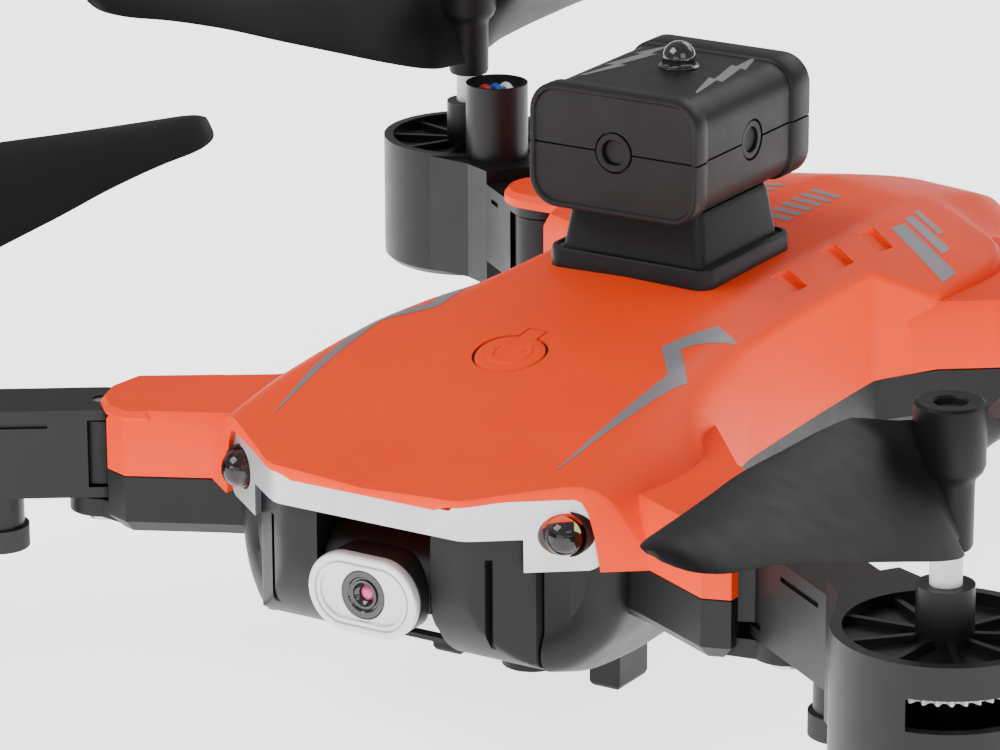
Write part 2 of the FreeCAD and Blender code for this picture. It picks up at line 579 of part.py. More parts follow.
def make_arm(tag, pivot, pod, side, motor_up, prop_angle, clockwise):
    pivot = (side * pivot[0], pivot[1])
    pod = (side * pod[0], pod[1])
    angle = math.degrees(math.atan2(pod[1] - pivot[1], pod[0] - pivot[0]))
    length = math.hypot(pod[0] - pivot[0], pod[1] - pivot[1])
    motor_at = away(pod, angle + 180, CENTRES)

    # solid envelope of arm and pod
    arm = strip(pivot, angle, length, ARM_W, ARM_LOW, ARM_TOP)
    arm = arm.fuse(rod(pivot[0], pivot[1], ARM_LOW, ARM_TOP, ARM_W / 2))
    h = ARM_W / 2
    web = [away(pivot, angle, length - 20, -h), away(pivot, angle, length - CENTRES - 3.0, -5.9),
           away(pivot, angle, length - 8, -10.2), away(pivot, angle, length - 8, 10.2),
           away(pivot, angle, length - CENTRES - 3.0, 5.9), away(pivot, angle, length - 20, h)]
    drum = rod(pod[0], pod[1], POD_LOW, POD_TOP, POD_R)
    drum = drum.makeChamfer(0.8, [e for e in drum.Edges if e.BoundBox.ZMax < POD_LOW + 0.1])
    pod_solid = drum.fuse(prism(web, POD_LOW + 1.0, POD_TOP - 0.4))
    if motor_up:
        pod_solid = pod_solid.fuse(rod(motor_at[0], motor_at[1], 0, POD_TOP + 11.0, TURRET_R))
    swing = rod(pivot[0], pivot[1], ARM_LOW + FORK, ARM_TOP - FORK, ARM_W / 2 + 0.35)

    # rooms inside
    gear_room = rod(pod[0], pod[1], POD_LOW + 1.3, DECK - 1.2, POD_R - POD_WALL)
    pinion_room = rod(motor_at[0], motor_at[1], GEAR_LOW - 0.5, DECK - 1.2, 3.1)
    recess = rod(pod[0], pod[1], DECK, 20, POD_R - POD_WALL)
    if motor_up:
        motor_low = DECK - 0.7
        motor_high = POD_TOP + 9.4
        recess = recess.cut(rod(motor_at[0], motor_at[1], 0, 30, TURRET_R))
    else:
        motor_low = POD_LOW + 1.4
        motor_high = GEAR_LOW - 0.6
    can_room = rod(motor_at[0], motor_at[1], motor_low, motor_high + (20 if motor_up else 0), MOTOR_R + 0.02)
    window = strip(pod, angle, 20, WINDOW_W, POD_PART, POD_PART + 4.0)

    solid = arm.fuse(pod_solid)
    solid = solid.cut(swing).cut(gear_room).cut(pinion_room).cut(recess)
    boss = rod(pod[0], pod[1], DECK - 0.2, BOSS_TOP, BOSS_R)
    ribs = []
    for n in range(9):
        rib = strip(pod, angle + 20 + 40 * n, POD_R - 1, 0.8, DECK - 0.2, DECK + 0.9)
        ribs.append(rib)
    if motor_up:
        keep = rod(motor_at[0], motor_at[1], 0, 30, TURRET_R)
        ribs = [r.cut(keep) for r in ribs]
    solid = solid.fuse([boss] + ribs)
    if not motor_up:
        tube = rod(motor_at[0], motor_at[1], POD_LOW + 1.1, motor_high, MOTOR_R + 1.1)
        tube = tube.common(rod(pod[0], pod[1], POD_LOW, POD_TOP, 40))
        solid = solid.fuse(tube)
    solid = solid.cut(can_room).cut(window)
    solid = solid.cut(rod(motor_at[0], motor_at[1], GEAR_LOW - 0.7, DECK + 0.2, 1.5))
    solid = solid.cut(rod(pod[0], pod[1], DECK - 2, 20, SHAFT_R + 0.05))
    # stand and axle that the wheel turns on
    stand = rod(pod[0], pod[1], POD_LOW + 0.6, GEAR_LOW - 2.0, 2.2)
    axle = rod(pod[0], pod[1], GEAR_LOW - 2.5, 19.6, 0.745)
    solid = solid.cut(rod(pivot[0], pivot[1], -30, 10, PIN_R + 0.05))
    # grooves along the arm's sides
    for v in (-h, h):
        groove = [away(pivot, angle, 7, v - 0.5), away(pivot, angle, length - 22, v - 0.5),
                  away(pivot, angle, length - 22, v + 0.5), away(pivot, angle, 7, v + 0.5)]
        solid = solid.cut(prism(groove, 0.0, 0.7))
    # foot peg
    peg_at = away(pivot, angle, 14.0)
    peg = rod(peg_at[0], peg_at[1], -14.6, ARM_LOW + 0.5, 3.4)
    pod_zone = prism([away(pivot, angle, length - 21, -20), away(pivot, angle, length + 20, -20),
                      away(pivot, angle, length + 20, 20), away(pivot, angle, length - 21, 20)], -40, 40)
    high = pod_zone.common(box(-200, 200, -200, 300, POD_PART, 40))
    high = high.fuse(box(-200, 200, -200, 300, SEAM, 40).cut(pod_zone))
    nodes["arm_upper_" + tag] = solid.common(high)
    lower_part = solid.cut(high).fuse([peg, stand, axle]).removeSplitter()
    nodes["arm_lower_" + tag] = lower_part
    nodes["foot_" + tag] = rod(peg_at[0], peg_at[1], -17.6, -14.6, 4.0)

    # motor
    can = rod(motor_at[0], motor_at[1], motor_low, motor_high, MOTOR_R)
    mid = (GEAR_LOW + GEAR_TOP) / 2
    if motor_up:
        can = can.fuse(rod(motor_at[0], motor_at[1], DECK - 1.5, motor_low, 1.4))
        shaft_z = (GEAR_LOW, motor_low)
        pinion_z = (GEAR_LOW - 0.3, GEAR_TOP + 0.2)
    else:
        can = can.fuse(rod(motor_at[0], motor_at[1], motor_high, motor_high + 0.2, 1.4))
        shaft_z = (motor_high, GEAR_TOP)
        pinion_z = (GEAR_LOW - 0.3, GEAR_TOP + 0.2)
    nodes["motor_" + tag] = can.removeSplitter()
    pinion = gear(motor_at, PINION_TEETH, angle + 180.0 / PINION_TEETH, pinion_z[0], pinion_z[1])
    nodes["pinion_" + tag] = pinion

    # wheel, hollow shaft, axle
    wheel = gear(pod, GEAR_TEETH, angle + 180, GEAR_LOW, GEAR_TOP)
    wheel = wheel.fuse(rod(pod[0], pod[1], GEAR_LOW - 1.6, COLLAR_LOW + 6, SHAFT_R))
    for n in range(5):
        hole_at = away(pod, angle + 72 * n, 5.6)
        wheel = wheel.cut(rod(hole_at[0], hole_at[1], -5, 5, 1.9))
    wheel = wheel.cut(rod(pod[0], pod[1], -10, 40, 0.8))
    nodes["drive_gear_" + tag] = wheel
    # propeller with its hub
    hub = rod(pod[0], pod[1], COLLAR_LOW, HUB_TOP, 3.0)
    hub = hub.fuse(rod(pod[0], pod[1], 24.0, HUB_TOP, 4.2))
    hub = hub.fuse([blade(pod, prop_angle, clockwise), blade(pod, prop_angle + 180, clockwise)])
    hub = hub.cut(rod(pod[0], pod[1], COLLAR_LOW - 1, COLLAR_LOW + 6.01, SHAFT_R + 0.005))
    hub = hub.cut(rod(pod[0], pod[1], COLLAR_LOW + 6, 40, 0.9))
    hub = hub.cut(rod(pod[0], pod[1], HUB_TOP - 2.2, 40, 1.9))
    nodes["propeller_" + tag] = hub.removeSplitter()
    screw = rod(pod[0], pod[1], HUB_TOP - 2.2, HUB_TOP - 0.9, 1.8)
    screw = screw.fuse(rod(pod[0], pod[1], COLLAR_LOW + 6, HUB_TOP - 2.2, 0.88))
    nodes["prop_screw_" + tag] = screw.removeSplitter()


make_arm("front_right", FRONT_PIVOT, FRONT_POD, 1, False, -96, True)
make_arm("front_left", FRONT_PIVOT, FRONT_POD, -1, False, 66.5, False)
make_arm("rear_right", REAR_PIVOT, REAR_POD, 1, True, 130, False)
make_arm("rear_left", REAR_PIVOT, REAR_POD, -1, True, 50, True)

# ---------------------------------------------------------------------------
# Write one STEP per node
# ---------------------------------------------------------------------------
os.makedirs(OUT, exist_ok=True)
for name, shape in nodes.items():
    moved = shape.copy()
    moved.translate(V(0, SHIFT_Y, -GROUND))
    moved.exportStep(os.path.join(OUT, name + ".step"))
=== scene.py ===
import json
import math

import bmesh
import bpy
import numpy as np
from mathutils import Matrix, Vector


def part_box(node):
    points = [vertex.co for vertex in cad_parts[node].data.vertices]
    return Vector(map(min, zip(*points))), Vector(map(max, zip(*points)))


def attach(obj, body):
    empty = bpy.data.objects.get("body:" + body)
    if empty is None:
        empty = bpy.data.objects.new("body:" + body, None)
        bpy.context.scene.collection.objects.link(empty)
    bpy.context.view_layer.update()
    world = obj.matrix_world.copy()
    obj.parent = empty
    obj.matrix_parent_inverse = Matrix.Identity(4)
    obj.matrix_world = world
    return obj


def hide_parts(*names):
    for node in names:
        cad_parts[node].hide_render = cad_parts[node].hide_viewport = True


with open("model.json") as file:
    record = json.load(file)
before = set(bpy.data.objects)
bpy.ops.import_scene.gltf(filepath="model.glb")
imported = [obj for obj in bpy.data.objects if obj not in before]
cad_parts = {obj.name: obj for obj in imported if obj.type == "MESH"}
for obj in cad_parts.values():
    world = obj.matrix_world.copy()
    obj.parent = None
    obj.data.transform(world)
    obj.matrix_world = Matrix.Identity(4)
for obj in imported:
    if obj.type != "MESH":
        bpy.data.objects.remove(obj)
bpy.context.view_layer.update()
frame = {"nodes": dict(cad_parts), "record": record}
NODES = frame["nodes"]

# The layout origin is the midpoint between the two headlight domes, in millimetres.
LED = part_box("headlight_right")
ORIGIN_Y = LED[0][1] + 0.0025
ORIGIN_Z = (LED[0][2] + LED[1][2]) / 2


def P(x, y, z):
    return Vector((x / 1000, y / 1000 + ORIGIN_Y, z / 1000 + ORIGIN_Z))


# ---------------------------------------------------------------------------
# Materials
# ---------------------------------------------------------------------------
def nodes_of(name):
    mat = bpy.data.materials.new(name)
    mat.use_nodes = True
    tree = mat.node_tree
    return mat, tree, tree.nodes["Principled BSDF"]


def noise(tree, scale, detail=3.0, rough=0.55):
    coord = tree.nodes.new("ShaderNodeTexCoord")
    tex = tree.nodes.new("ShaderNodeTexNoise")
    tex.inputs["Scale"].default_value = scale
    tex.inputs["Detail"].default_value = detail
    tex.inputs["Roughness"].default_value = rough
    tree.links.new(coord.outputs["Object"], tex.inputs["Vector"])
    return tex.outputs["Fac"]


def span(tree, value, low, high, a=0.3, b=0.7):
    node = tree.nodes.new("ShaderNodeMapRange")
    node.inputs["From Min"].default_value = a
    node.inputs["From Max"].default_value = b
    node.inputs["To Min"].default_value = low
    node.inputs["To Max"].default_value = high
    tree.links.new(value, node.inputs["Value"])
    return node.outputs["Result"]


def blend_colours(tree, fac, a, b):
    ramp = tree.nodes.new("ShaderNodeMix")
    ramp.data_type = "RGBA"
    ramp.inputs["A"].default_value = (*a, 1)
    ramp.inputs["B"].default_value = (*b, 1)
    tree.links.new(fac, ramp.inputs["Factor"])
    return ramp.outputs["Result"]


def bump(tree, shader, height, strength, distance):
    node = tree.nodes.new("ShaderNodeBump")
    node.inputs["Strength"].default_value = strength
    node.inputs["Distance"].default_value = distance
    tree.links.new(height, node.inputs["Height"])
    tree.links.new(node.outputs["Normal"], shader.inputs["Normal"])


def plastic(name, a, b, rough, grain=9000, strength=0.12, coat=0.0, specular=0.5, metal=0.0):
    """Moulded plastic or metal: slow colour drift, uneven gloss and a fine surface grain."""
    mat, tree, shader = nodes_of(name)
    tree.links.new(blend_colours(tree, span(tree, noise(tree, 60), 0, 1), a, b), shader.inputs["Base Color"])
    wear = span(tree, noise(tree, 240, 5), rough - 0.03, rough + 0.04)
    tree.links.new(wear, shader.inputs["Roughness"])
    shader.inputs["Metallic"].default_value = metal
    shader.inputs["Specular IOR Level"].default_value = specular
    shader.inputs["Coat Weight"].default_value = coat
    shader.inputs["Coat Roughness"].default_value = 0.12
    bump(tree, shader, noise(tree, grain, 2), strength, 0.00004)
    return mat


def glass(name, tint, rough=0.02, ior=1.49):
    mat, tree, shader = nodes_of(name)
    shader.inputs["Transmission Weight"].default_value = 1.0
    shader.inputs["IOR"].default_value = ior
    tree.links.new(blend_colours(tree, noise(tree, 300), tint, tuple(c * 0.93 for c in tint)),
                   shader.inputs["Base Color"])
    tree.links.new(span(tree, noise(tree, 900), rough, rough + 0.03), shader.inputs["Roughness"])
    return mat


ORANGE = plastic("orange_shell", (1.0, 0.052, 0.0), (0.97, 0.046, 0.0), 0.48, 5200, 0.10, specular=0.16)
BLACK = plastic("black_shell", (0.008, 0.008, 0.009), (0.006, 0.006, 0.007), 0.46, 6500, 0.14, specular=0.26)
ARM = plastic("arm_black", (0.008, 0.008, 0.009), (0.006, 0.006, 0.007), 0.38, 7000, 0.10, specular=0.28)
PROP = plastic("propeller_black", (0.006, 0.006, 0.007), (0.005, 0.005, 0.006), 0.5, 8000, 0.08, specular=0.2)
# near-black used as painted shade: the gap round the power button, the plate under it and the head's emitters
# deep in their holes; also the headlights' dark parts
PAINTED_SHADE_BLACK = plastic("painted_shade_black", (0.006, 0.006, 0.007), (0.004, 0.004, 0.005), 0.6, 5000, 0.10)
BEZEL = plastic("bezel_silver", (0.66, 0.66, 0.70), (0.50, 0.50, 0.54), 0.42, 3600, 1.0, metal=0.7)
SILVER = plastic("camera_silver", (0.76, 0.76, 0.80), (0.64, 0.64, 0.68), 0.36, 4200, 0.6, metal=0.6)
GLOSS = plastic("gloss_black", (0.012, 0.012, 0.013), (0.008, 0.008, 0.009), 0.12, 3000, 0.02, coat=0.6)
DECAL = plastic("decal_grey", (0.215, 0.205, 0.225), (0.175, 0.168, 0.185), 0.42, 6000, 0.08)
WHITE = plastic("white_gear", (0.82, 0.82, 0.83), (0.74, 0.74, 0.76), 0.38, 4000, 0.10)
STEEL = plastic("steel", (0.55, 0.55, 0.57), (0.45, 0.45, 0.47), 0.30, 2600, 0.25, metal=1.0)
BRASS = plastic("brass", (0.78, 0.57, 0.25), (0.66, 0.47, 0.2), 0.28, 2600, 0.2, metal=1.0)
RUBBER = plastic("rubber_foot", (0.020, 0.020, 0.020), (0.014, 0.014, 0.014), 0.75, 2200, 0.3)
BOARD = plastic("circuit_board", (0.010, 0.10, 0.045), (0.008, 0.075, 0.035), 0.35, 1800, 0.2)
WRAP = plastic("cell_wrap", (0.02, 0.09, 0.33), (0.015, 0.07, 0.27), 0.25, 2500, 0.1)
CLEAR = glass("clear_lens", (0.97, 0.98, 1.0))
PINK = plastic("tinted_glass", (0.75, 0.04, 0.25), (0.50, 0.02, 0.16), 0.08, 2500, 0.02, coat=1.0)
PHOSPHOR = plastic("led_die", (0.85, 0.75, 0.25), (0.75, 0.62, 0.18), 0.3, 2500, 0.1)

SLOT_OF = {
    "orange_shell": ORANGE, "black_shell": BLACK, "arm_black": ARM, "propeller_black": PROP,
    "bezel_silver": BEZEL, "camera_silver": SILVER, "gloss_black": GLOSS, "white_gear": WHITE,
    "steel": STEEL, "brass": BRASS, "rubber_foot": RUBBER, "circuit_board": BOARD,
    "cell_wrap": WRAP, "clear_lens": CLEAR, "tinted_glass": PINK,
}
for part in frame["record"]["subparts"]:
    node = NODES[part["node"]]
    # the head's emitters sit deep in their holes and are painted near-black as shade instead of their own
    # slot's colour
    emitters_in_painted_shade = part["node"] == "head_emitters"
    node.data.materials.clear()
    node.data.materials.append(PAINTED_SHADE_BLACK if emitters_in_painted_shade else SLOT_OF[part["material_slot"]])


# ---------------------------------------------------------------------------
# Mesh helpers. Shapes are given in layout millimetres.
# ---------------------------------------------------------------------------
def piece(name, verts, faces, mat, body, slot, bevel=0.0, steps=3, angle=30, smooth=40):
    mesh = bpy.data.meshes.new(name)
    mesh.from_pydata([P(*v) for v in verts], [], faces)
    bm = bmesh.new()
    bm.from_mesh(mesh)
    bmesh.ops.remove_doubles(bm, verts=bm.verts, dist=1e-6)
    bmesh.ops.recalc_face_normals(bm, faces=bm.faces)
    bm.to_mesh(mesh)
    bm.free()
    mesh.shade_smooth()
    mesh.set_sharp_from_angle(angle=math.radians(smooth))
    mesh.materials.append(mat)
    obj = bpy.data.objects.new(name, mesh)
    bpy.context.scene.collection.objects.link(obj)
    if bevel:
        mod = obj.modifiers.new("soft edges", "BEVEL")
        mod.width = bevel / 1000
        mod.segments = steps
        mod.limit_method = "ANGLE"
        mod.angle_limit = math.radians(angle)
        mod.harden_normals = True
        mod.use_clamp_overlap = True
    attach(obj, body)
    return obj


def soft_rims(obj, width, steps, angle):
    """A fine live bevel on every edge sharper than an angle; width in millimetres."""
    mod = obj.modifiers.new("soft rims", "BEVEL")
    mod.width = width / 1000
    mod.segments = steps
    mod.limit_method = "ANGLE"
    mod.angle_limit = math.radians(angle)


def turned(cx, cy, r, degrees):
    """The point at an angle on a circle."""
    a = math.radians(degrees)
    return (cx + r * math.cos(a), cy + r * math.sin(a))


def prism(plan, z0, z1):
    n = len(plan)
    verts = [(x, y, z0) for x, y in plan] + [(x, y, z1) for x, y in plan]
    faces = [list(range(n))[::-1], list(range(n, 2 * n))]
    faces += [[i, (i + 1) % n, n + (i + 1) % n, n + i] for i in range(n)]
    return verts, faces


def loft(rings, closed=True, cap=True):
    """Faces between rings that have the same number of points."""
    n = len(rings[0])
    verts = [v for ring in rings for v in ring]
    faces = []
    for j in range(len(rings) - 1):
        for i in range(n if closed else n - 1):
            a, b = j * n + i, j * n + (i + 1) % n
            faces.append([a, b, b + n, a + n])
    if cap:
        faces.append(list(range(n))[::-1])
        faces.append(list(range((len(rings) - 1) * n, len(rings) * n)))
    return verts, faces


def lathe(x, y, profile, count=72, cap=False):
    """Profile of (radius, z) turned about a vertical line."""
    rings = []
    for r, z in profile:
        ring = []
        for k in range(count):
            a = 2 * math.pi * k / count
            ring.append((x + r * math.cos(a), y + r * math.sin(a), z))
        rings.append(ring)
    return loft(rings, True, cap)


def lathe_y(x, z, profile, count=64, cap=False):
    """Profile of (radius, y) turned about a line along Y."""
    rings = []
    for r, y in profile:
        ring = [(x + r * math.cos(a), y, z + r * math.sin(a))
                for a in (2 * math.pi * k / count for k in range(count))]
        rings.append(ring)
    return loft(rings, True, cap)


def merge(*shapes):
    verts, faces = [], []
    for v, f in shapes:
        base = len(verts)
        verts += v
        faces += [[i + base for i in face] for face in f]
    return verts, faces


def mirrored(shape):
    verts, faces = shape
    return [(-x, y, z) for x, y, z in verts], [face[::-1] for face in faces]


def cut(obj, verts, faces, name="cutter", smooth=28, own=False):
    """Takes a closed shape out of a piece for good."""
    tool = piece(name, verts, faces, PAINTED_SHADE_BLACK, "hull", "black_shell")
    mod = obj.modifiers.new("cut", "BOOLEAN")
    mod.operation = "DIFFERENCE"
    mod.solver = "EXACT"
    mod.use_self = own
    mod.object = tool
    deps = bpy.context.evaluated_depsgraph_get()
    fresh = bpy.data.meshes.new_from_object(obj.evaluated_get(deps))
    obj.modifiers.remove(mod)
    obj.data = fresh
    bpy.data.objects.remove(tool)
    if smooth:
        fresh.shade_smooth()
        fresh.set_sharp_from_angle(angle=math.radians(smooth))


def block(x0, x1, y0, y1, z0, z1):
    return prism([(x0, y0), (x1, y0), (x1, y1), (x0, y1)], z0, z1)


def shrink(plan, d):
    """A plan outline with every side moved inwards by d."""
    n = len(plan)
    area = sum(plan[i][0] * plan[(i + 1) % n][1] - plan[(i + 1) % n][0] * plan[i][1] for i in range(n))
    turn = 1 if area > 0 else -1
    out = []
    for i in range(n):
        p, q, r = (Vector(plan[(i + k) % n]) for k in (-1, 0, 1))
        u, v = (q - p).normalized(), (r - q).normalized()
        nu, nv = Vector((-u.y, u.x)) * turn, Vector((-v.y, v.x)) * turn
        m = nu + nv
        out.append(tuple(q + m * (d / max(0.35, m.dot(nu)))))
    return out


def slab(plan, levels):
    """A plan outline carried up through (z, inset) levels."""
    return loft([[(x, y, z) for x, y in shrink(plan, inset)] for z, inset in levels])


def rounded_plan(plan, radius, count=6):
    """A plan outline with its corners turned into short curves."""
    n = len(plan)
    out = []
    for i in range(n):
        p, q, r = (Vector(plan[(i + k) % n]) for k in (-1, 0, 1))
        reach = min(radius, 0.48 * (p - q).length, 0.48 * (r - q).length)
        a, b = q + (p - q).normalized() * reach, q + (r - q).normalized() * reach
        for t in (k / (count - 1) for k in range(count)):
            out.append(tuple((1 - t) ** 2 * a + 2 * t * (1 - t) * q + t ** 2 * b))
    return out


def pipe_x(x0, x1, y, z, r, count=64):
    """A closed round bar along X."""
    rings = [[(x, *turned(y, z, r, 360 * k / count)) for k in range(count)] for x in (x0, x1)]
    return loft(rings)


def away(start, angle, length, side=0.0):
    """The plan point a length along an angle from a start, and a step to its left."""
    a = math.radians(angle)
    return (start[0] + length * math.cos(a) - side * math.sin(a),
            start[1] + length * math.sin(a) + side * math.cos(a))


# ---------------------------------------------------------------------------
# Hood surface
# ---------------------------------------------------------------------------
SEAM = -4.8
SWEEP = math.tan(math.radians(37.5))
FACET_X = 13.9
FACET_Y = -7.4
# y, seam half width, shoulder (x, z), crease (x, z), middle z, shoulder softness, crease softness
HOOD = np.array([
    (-10.0, 29.4, 28.0, 5.2, 11.0, 4.6, 3.9, 4.0, 2.5),
    (3.0, 32.4, 28.0, 7.0, 11.6, 6.9, 6.6, 4.5, 2.5),
    (16.0, 37.4, 26.6, 10.0, 12.4, 9.9, 9.8, 6.0, 2.0),
    (23.0, 35.4, 25.8, 11.2, 13.0, 11.4, 11.4, 6.6, 1.8),
    (31.0, 27.4, 24.8, 12.1, 13.9, 12.9, 13.0, 6.6, 1.6),
    (40.0, 24.8, 23.6, 11.8, 15.0, 13.7, 13.9, 5.0, 1.6),
    (50.0, 22.8, 22.0, 10.8, 15.5, 14.2, 14.5, 1.6, 1.6),
    (86.0, 21.6, 21.1, 10.5, 15.5, 14.5, 15.3, 1.2, 1.4),
    (95.0, 26.8, 26.3, 5.6, 15.0, 14.3, 15.5, 1.2, 1.4),
    (110.0, 27.6, 27.2, 6.4, 13.2, 13.2, 15.0, 1.4, 1.4),
    (118.0, 25.5, 24.4, 6.6, 12.2, 11.9, 13.4, 2.0, 1.2),
    (126.0, 20.4, 18.2, 5.0, 11.2, 10.0, 11.4, 3.0, 1.2),
    (140.0, 17.4, 15.4, 2.0, 9.6, 6.6, 7.3, 3.0, 1.2),
    (147.0, 15.6, 13.6, 0.4, 8.5, 4.2, 4.6, 3.0, 1.2),
])


def hermite(table, y):
    """Smooth values of a table whose first column is y."""
    ys = table[:, 0]
    k = int(np.clip(np.searchsorted(ys, y) - 1, 0, len(ys) - 2))

    def slope(i):
        if i == 0 or i == len(ys) - 1:
            j = min(max(i, 1), len(ys) - 1)
            return (table[j, 1:] - table[j - 1, 1:]) / (ys[j] - ys[j - 1])
        before = (table[i, 1:] - table[i - 1, 1:]) / (ys[i] - ys[i - 1])
        after = (table[i + 1, 1:] - table[i, 1:]) / (ys[i + 1] - ys[i])
        same = before * after > 0
        mean = 2 * before * after / np.where(same, before + after, 1)
        return np.where(same, mean, 0)

    h = ys[k + 1] - ys[k]
    t = (y - ys[k]) / h
    a, b = table[k, 1:], table[k + 1, 1:]
    if 85 < ys[k] < 94:
        return a + (b - a) * t
    return ((2 * t ** 3 - 3 * t ** 2 + 1) * a + (t ** 3 - 2 * t ** 2 + t) * h * slope(k)
            + (3 * t ** 2 - 2 * t ** 3) * b + (t ** 3 - t ** 2) * h * slope(k + 1))


def softened(points, softness, counts, round_counts):
    """A polyline with its inner corners rounded. Always gives the same number of points."""
    out = []
    starts, ends = [points[0]], []
    for k in range(1, len(points) - 1):
        p = np.array(points[k])
        before, after = np.array(points[k - 1]) - p, np.array(points[k + 1]) - p
        d = min(softness[k - 1], 0.45 * np.linalg.norm(before), 0.45 * np.linalg.norm(after))
        ends.append(p + before / np.linalg.norm(before) * d)
        starts.append(p + after / np.linalg.norm(after) * d)
    ends.append(points[-1])
    for k in range(len(points) - 1):
        a, b = np.array(starts[k]), np.array(ends[k])
        for t in np.linspace(0, 1, counts[k], endpoint=False):
            out.append(a + (b - a) * t)
        if k < len(points) - 2:
            c, d = np.array(points[k + 1]), np.array(starts[k + 1])
            for t in np.linspace(0, 1, round_counts[k], endpoint=False):
                out.append((1 - t) ** 2 * b + 2 * t * (1 - t) * c + t ** 2 * d)
    out.append(np.array(points[-1]))
    return out


def hood_half(y):
    """Half a cross-section, from the seam up to the middle line, as (x, z)."""
    s, ex, ez, cx, cz, mz, soft, crease = hermite(HOOD, y)
    return softened([(s, SEAM), (ex, ez), (cx, cz), (0, mz)], [soft, crease], [5, 8, 8], [10, 5])


HOOD_POINTS = len(hood_half(0.0))


def hood_z(x, y):
    half = np.array(hood_half(y))
    return float(np.interp(-abs(x), -half[:, 0], half[:, 1]))


def soft_nose_y(x, setback=0.0):
    """The nose plan with its two folds slightly rounded."""
    d = abs(x) - FACET_X
    w = 1.2
    if d <= -w:
        return FACET_Y + setback
    if d >= w:
        return FACET_Y + setback + d * SWEEP
    return FACET_Y + setback + SWEEP * (d + w) ** 2 / (4 * w)


REAR_Y = 147.0
rows = 130
steps = [(j / rows) ** 1.15 for j in range(rows + 1)]
grid = []
for t in steps:
    ring = []
    for i in range(HOOD_POINTS):
        y = 0.0
        for _ in range(6):
            x = hood_half(y)[i][0]
            y_front = soft_nose_y(x, -0.9)
            y = y_front + t * (REAR_Y - y_front)
        x, z = hood_half(y)[i]
        ring.append((x, y, z))
    full = ring + [(-x, y, z) for x, y, z in reversed(ring[:-1])]
    grid.append(full)


def lip_z(x):
    """Height of the hood's lower front edge above the bezel."""
    x = abs(x)
    t = np.clip((x - 10.5) / 3.0, 0, 1)
    low = 3.35 + 1.4 * t * t * (3 - 2 * t)
    if x > 25.0:
        low = 4.75 - 9.55 * np.clip((x - 25.0) / 2.8, 0, 1) ** 3
    return float(low)


def strips(count):
    """Faces that close one end of a ring made of an upper run and a lower run."""
    return [[i, i + 1, 2 * count - 2 - i, 2 * count - 1 - i] for i in range(count - 1)]


def shell_solid(rows, floor_y, floor_z):
    """A closed solid under (or over) a run of rows, closed by a flat side at floor_z."""
    count = len(rows[0])
    rings = []
    for row in rows:
        back = [(x, max(y, floor_y[i]), floor_z(x, y)) for i, (x, y, z) in enumerate(row)]
        rings.append(list(row) + back[::-1])
    verts, faces = loft(rings, True, False)
    last = (len(rings) - 1) * 2 * count
    ends = strips(count)
    return verts, faces + ends + [[i + last for i in f[::-1]] for f in ends]


front = grid[0]
edge = [(x, y - 0.15, max(z - 0.35, SEAM)) for x, y, z in front]
lower = [(x, y - 0.15, max(min(z - 0.9, lip_z(x)), SEAM)) for x, y, z in front]
under = [(x, y + 2.0, z) for x, y, z in lower]
tail = [(x * 0.94, y + 0.8, SEAM + (z - SEAM) * 0.9) for x, y, z in grid[-1]]
rows_all = [under, lower, edge] + grid + [tail]
under_y = [p[1] for p in under]


def hood_floor(x, y):
    """The hood's flat underside: the seam, and higher over the nose parts."""
    return SEAM if y > 9.5 or abs(x) > 27.9 else 0.6


hood = shell_solid(rows_all, under_y, hood_floor)
hood = piece("hood_skin", *hood, ORANGE, "hull", "orange_shell", smooth=28)

BUTTON_Y = 26.3
# (radius, depth below the hood's surface) from the button's skirt to its middle
BUTTON_DOME = (
    (4.6, 1.4), (4.6, 0.22), (4.5, 0.06), (4.3, 0.0), (3.2, 0.0), (2.0, 0.0), (0.8, 0.0), (0.05, 0.0),
)


def keyhole(radius, half, reach):
    """The plan of the button's well: a round hole with a slot towards the tail."""
    start = math.asin(half / radius)
    arc = [math.pi / 2 + start + (2 * math.pi - 2 * start) * k / 60 for k in range(61)]
    plan = [(radius * math.cos(a), BUTTON_Y + radius * math.sin(a)) for a in arc]
    return plan + [(half, BUTTON_Y + reach), (-half, BUTTON_Y + reach)]


# painted shade: a near-black plate under the button's hole, seen through the gap round the button
piece("button_well_shade", *prism(keyhole(5.1, 1.6, 7.3), 8.8, 9.35), PAINTED_SHADE_BLACK, "hull", "black_shell")
cutters = [prism(keyhole(4.95, 1.5, 7.2), 9.0, 30), block(-9.2, 9.2, 59, 75, 8, 30)]
for y in (69.1, 82.3, 93.8):
    for side in (1, -1):
        low, high = [], []
        for dx, dy, deep in ((15.7, -2.5, 0.0), (18.9, -2.5, 0.0), (18.9, 2.0, 1.0), (15.7, 2.0, 1.0)):
            z = hood_z(dx, y + dy)
            low.append((side * dx, y + dy, z - deep - 0.02))
            high.append((side * dx, y + dy, z + 4))
        cutters.append(loft([low, high]))
cut(hood, *merge(*cutters))
soft_rims(hood, 0.18, 2, 50)
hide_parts("upper_shell")


def follow(points, lift=0.0):
    return [(x, y, hood_z(x, y) + lift) for x, y in points]


def ribbon(path, width, height, sink=0.3, surface=hood_z):
    """A raised strip that lies on the hood along a plan path."""
    rings = []
    for i, p in enumerate(path):
        a, b = Vector(path[max(i - 1, 0)]), Vector(path[min(i + 1, len(path) - 1)])
        n = (b - a).normalized()
        n = Vector((-n.y, n.x)) * width / 2
        left, right = Vector(p) + n, Vector(p) - n
        zl, zr = surface(*left), surface(*right)
        rings.append([(*left, zl - sink), (*left, zl + height), (*right, zr + height), (*right, zr - sink)])
    return loft(rings)


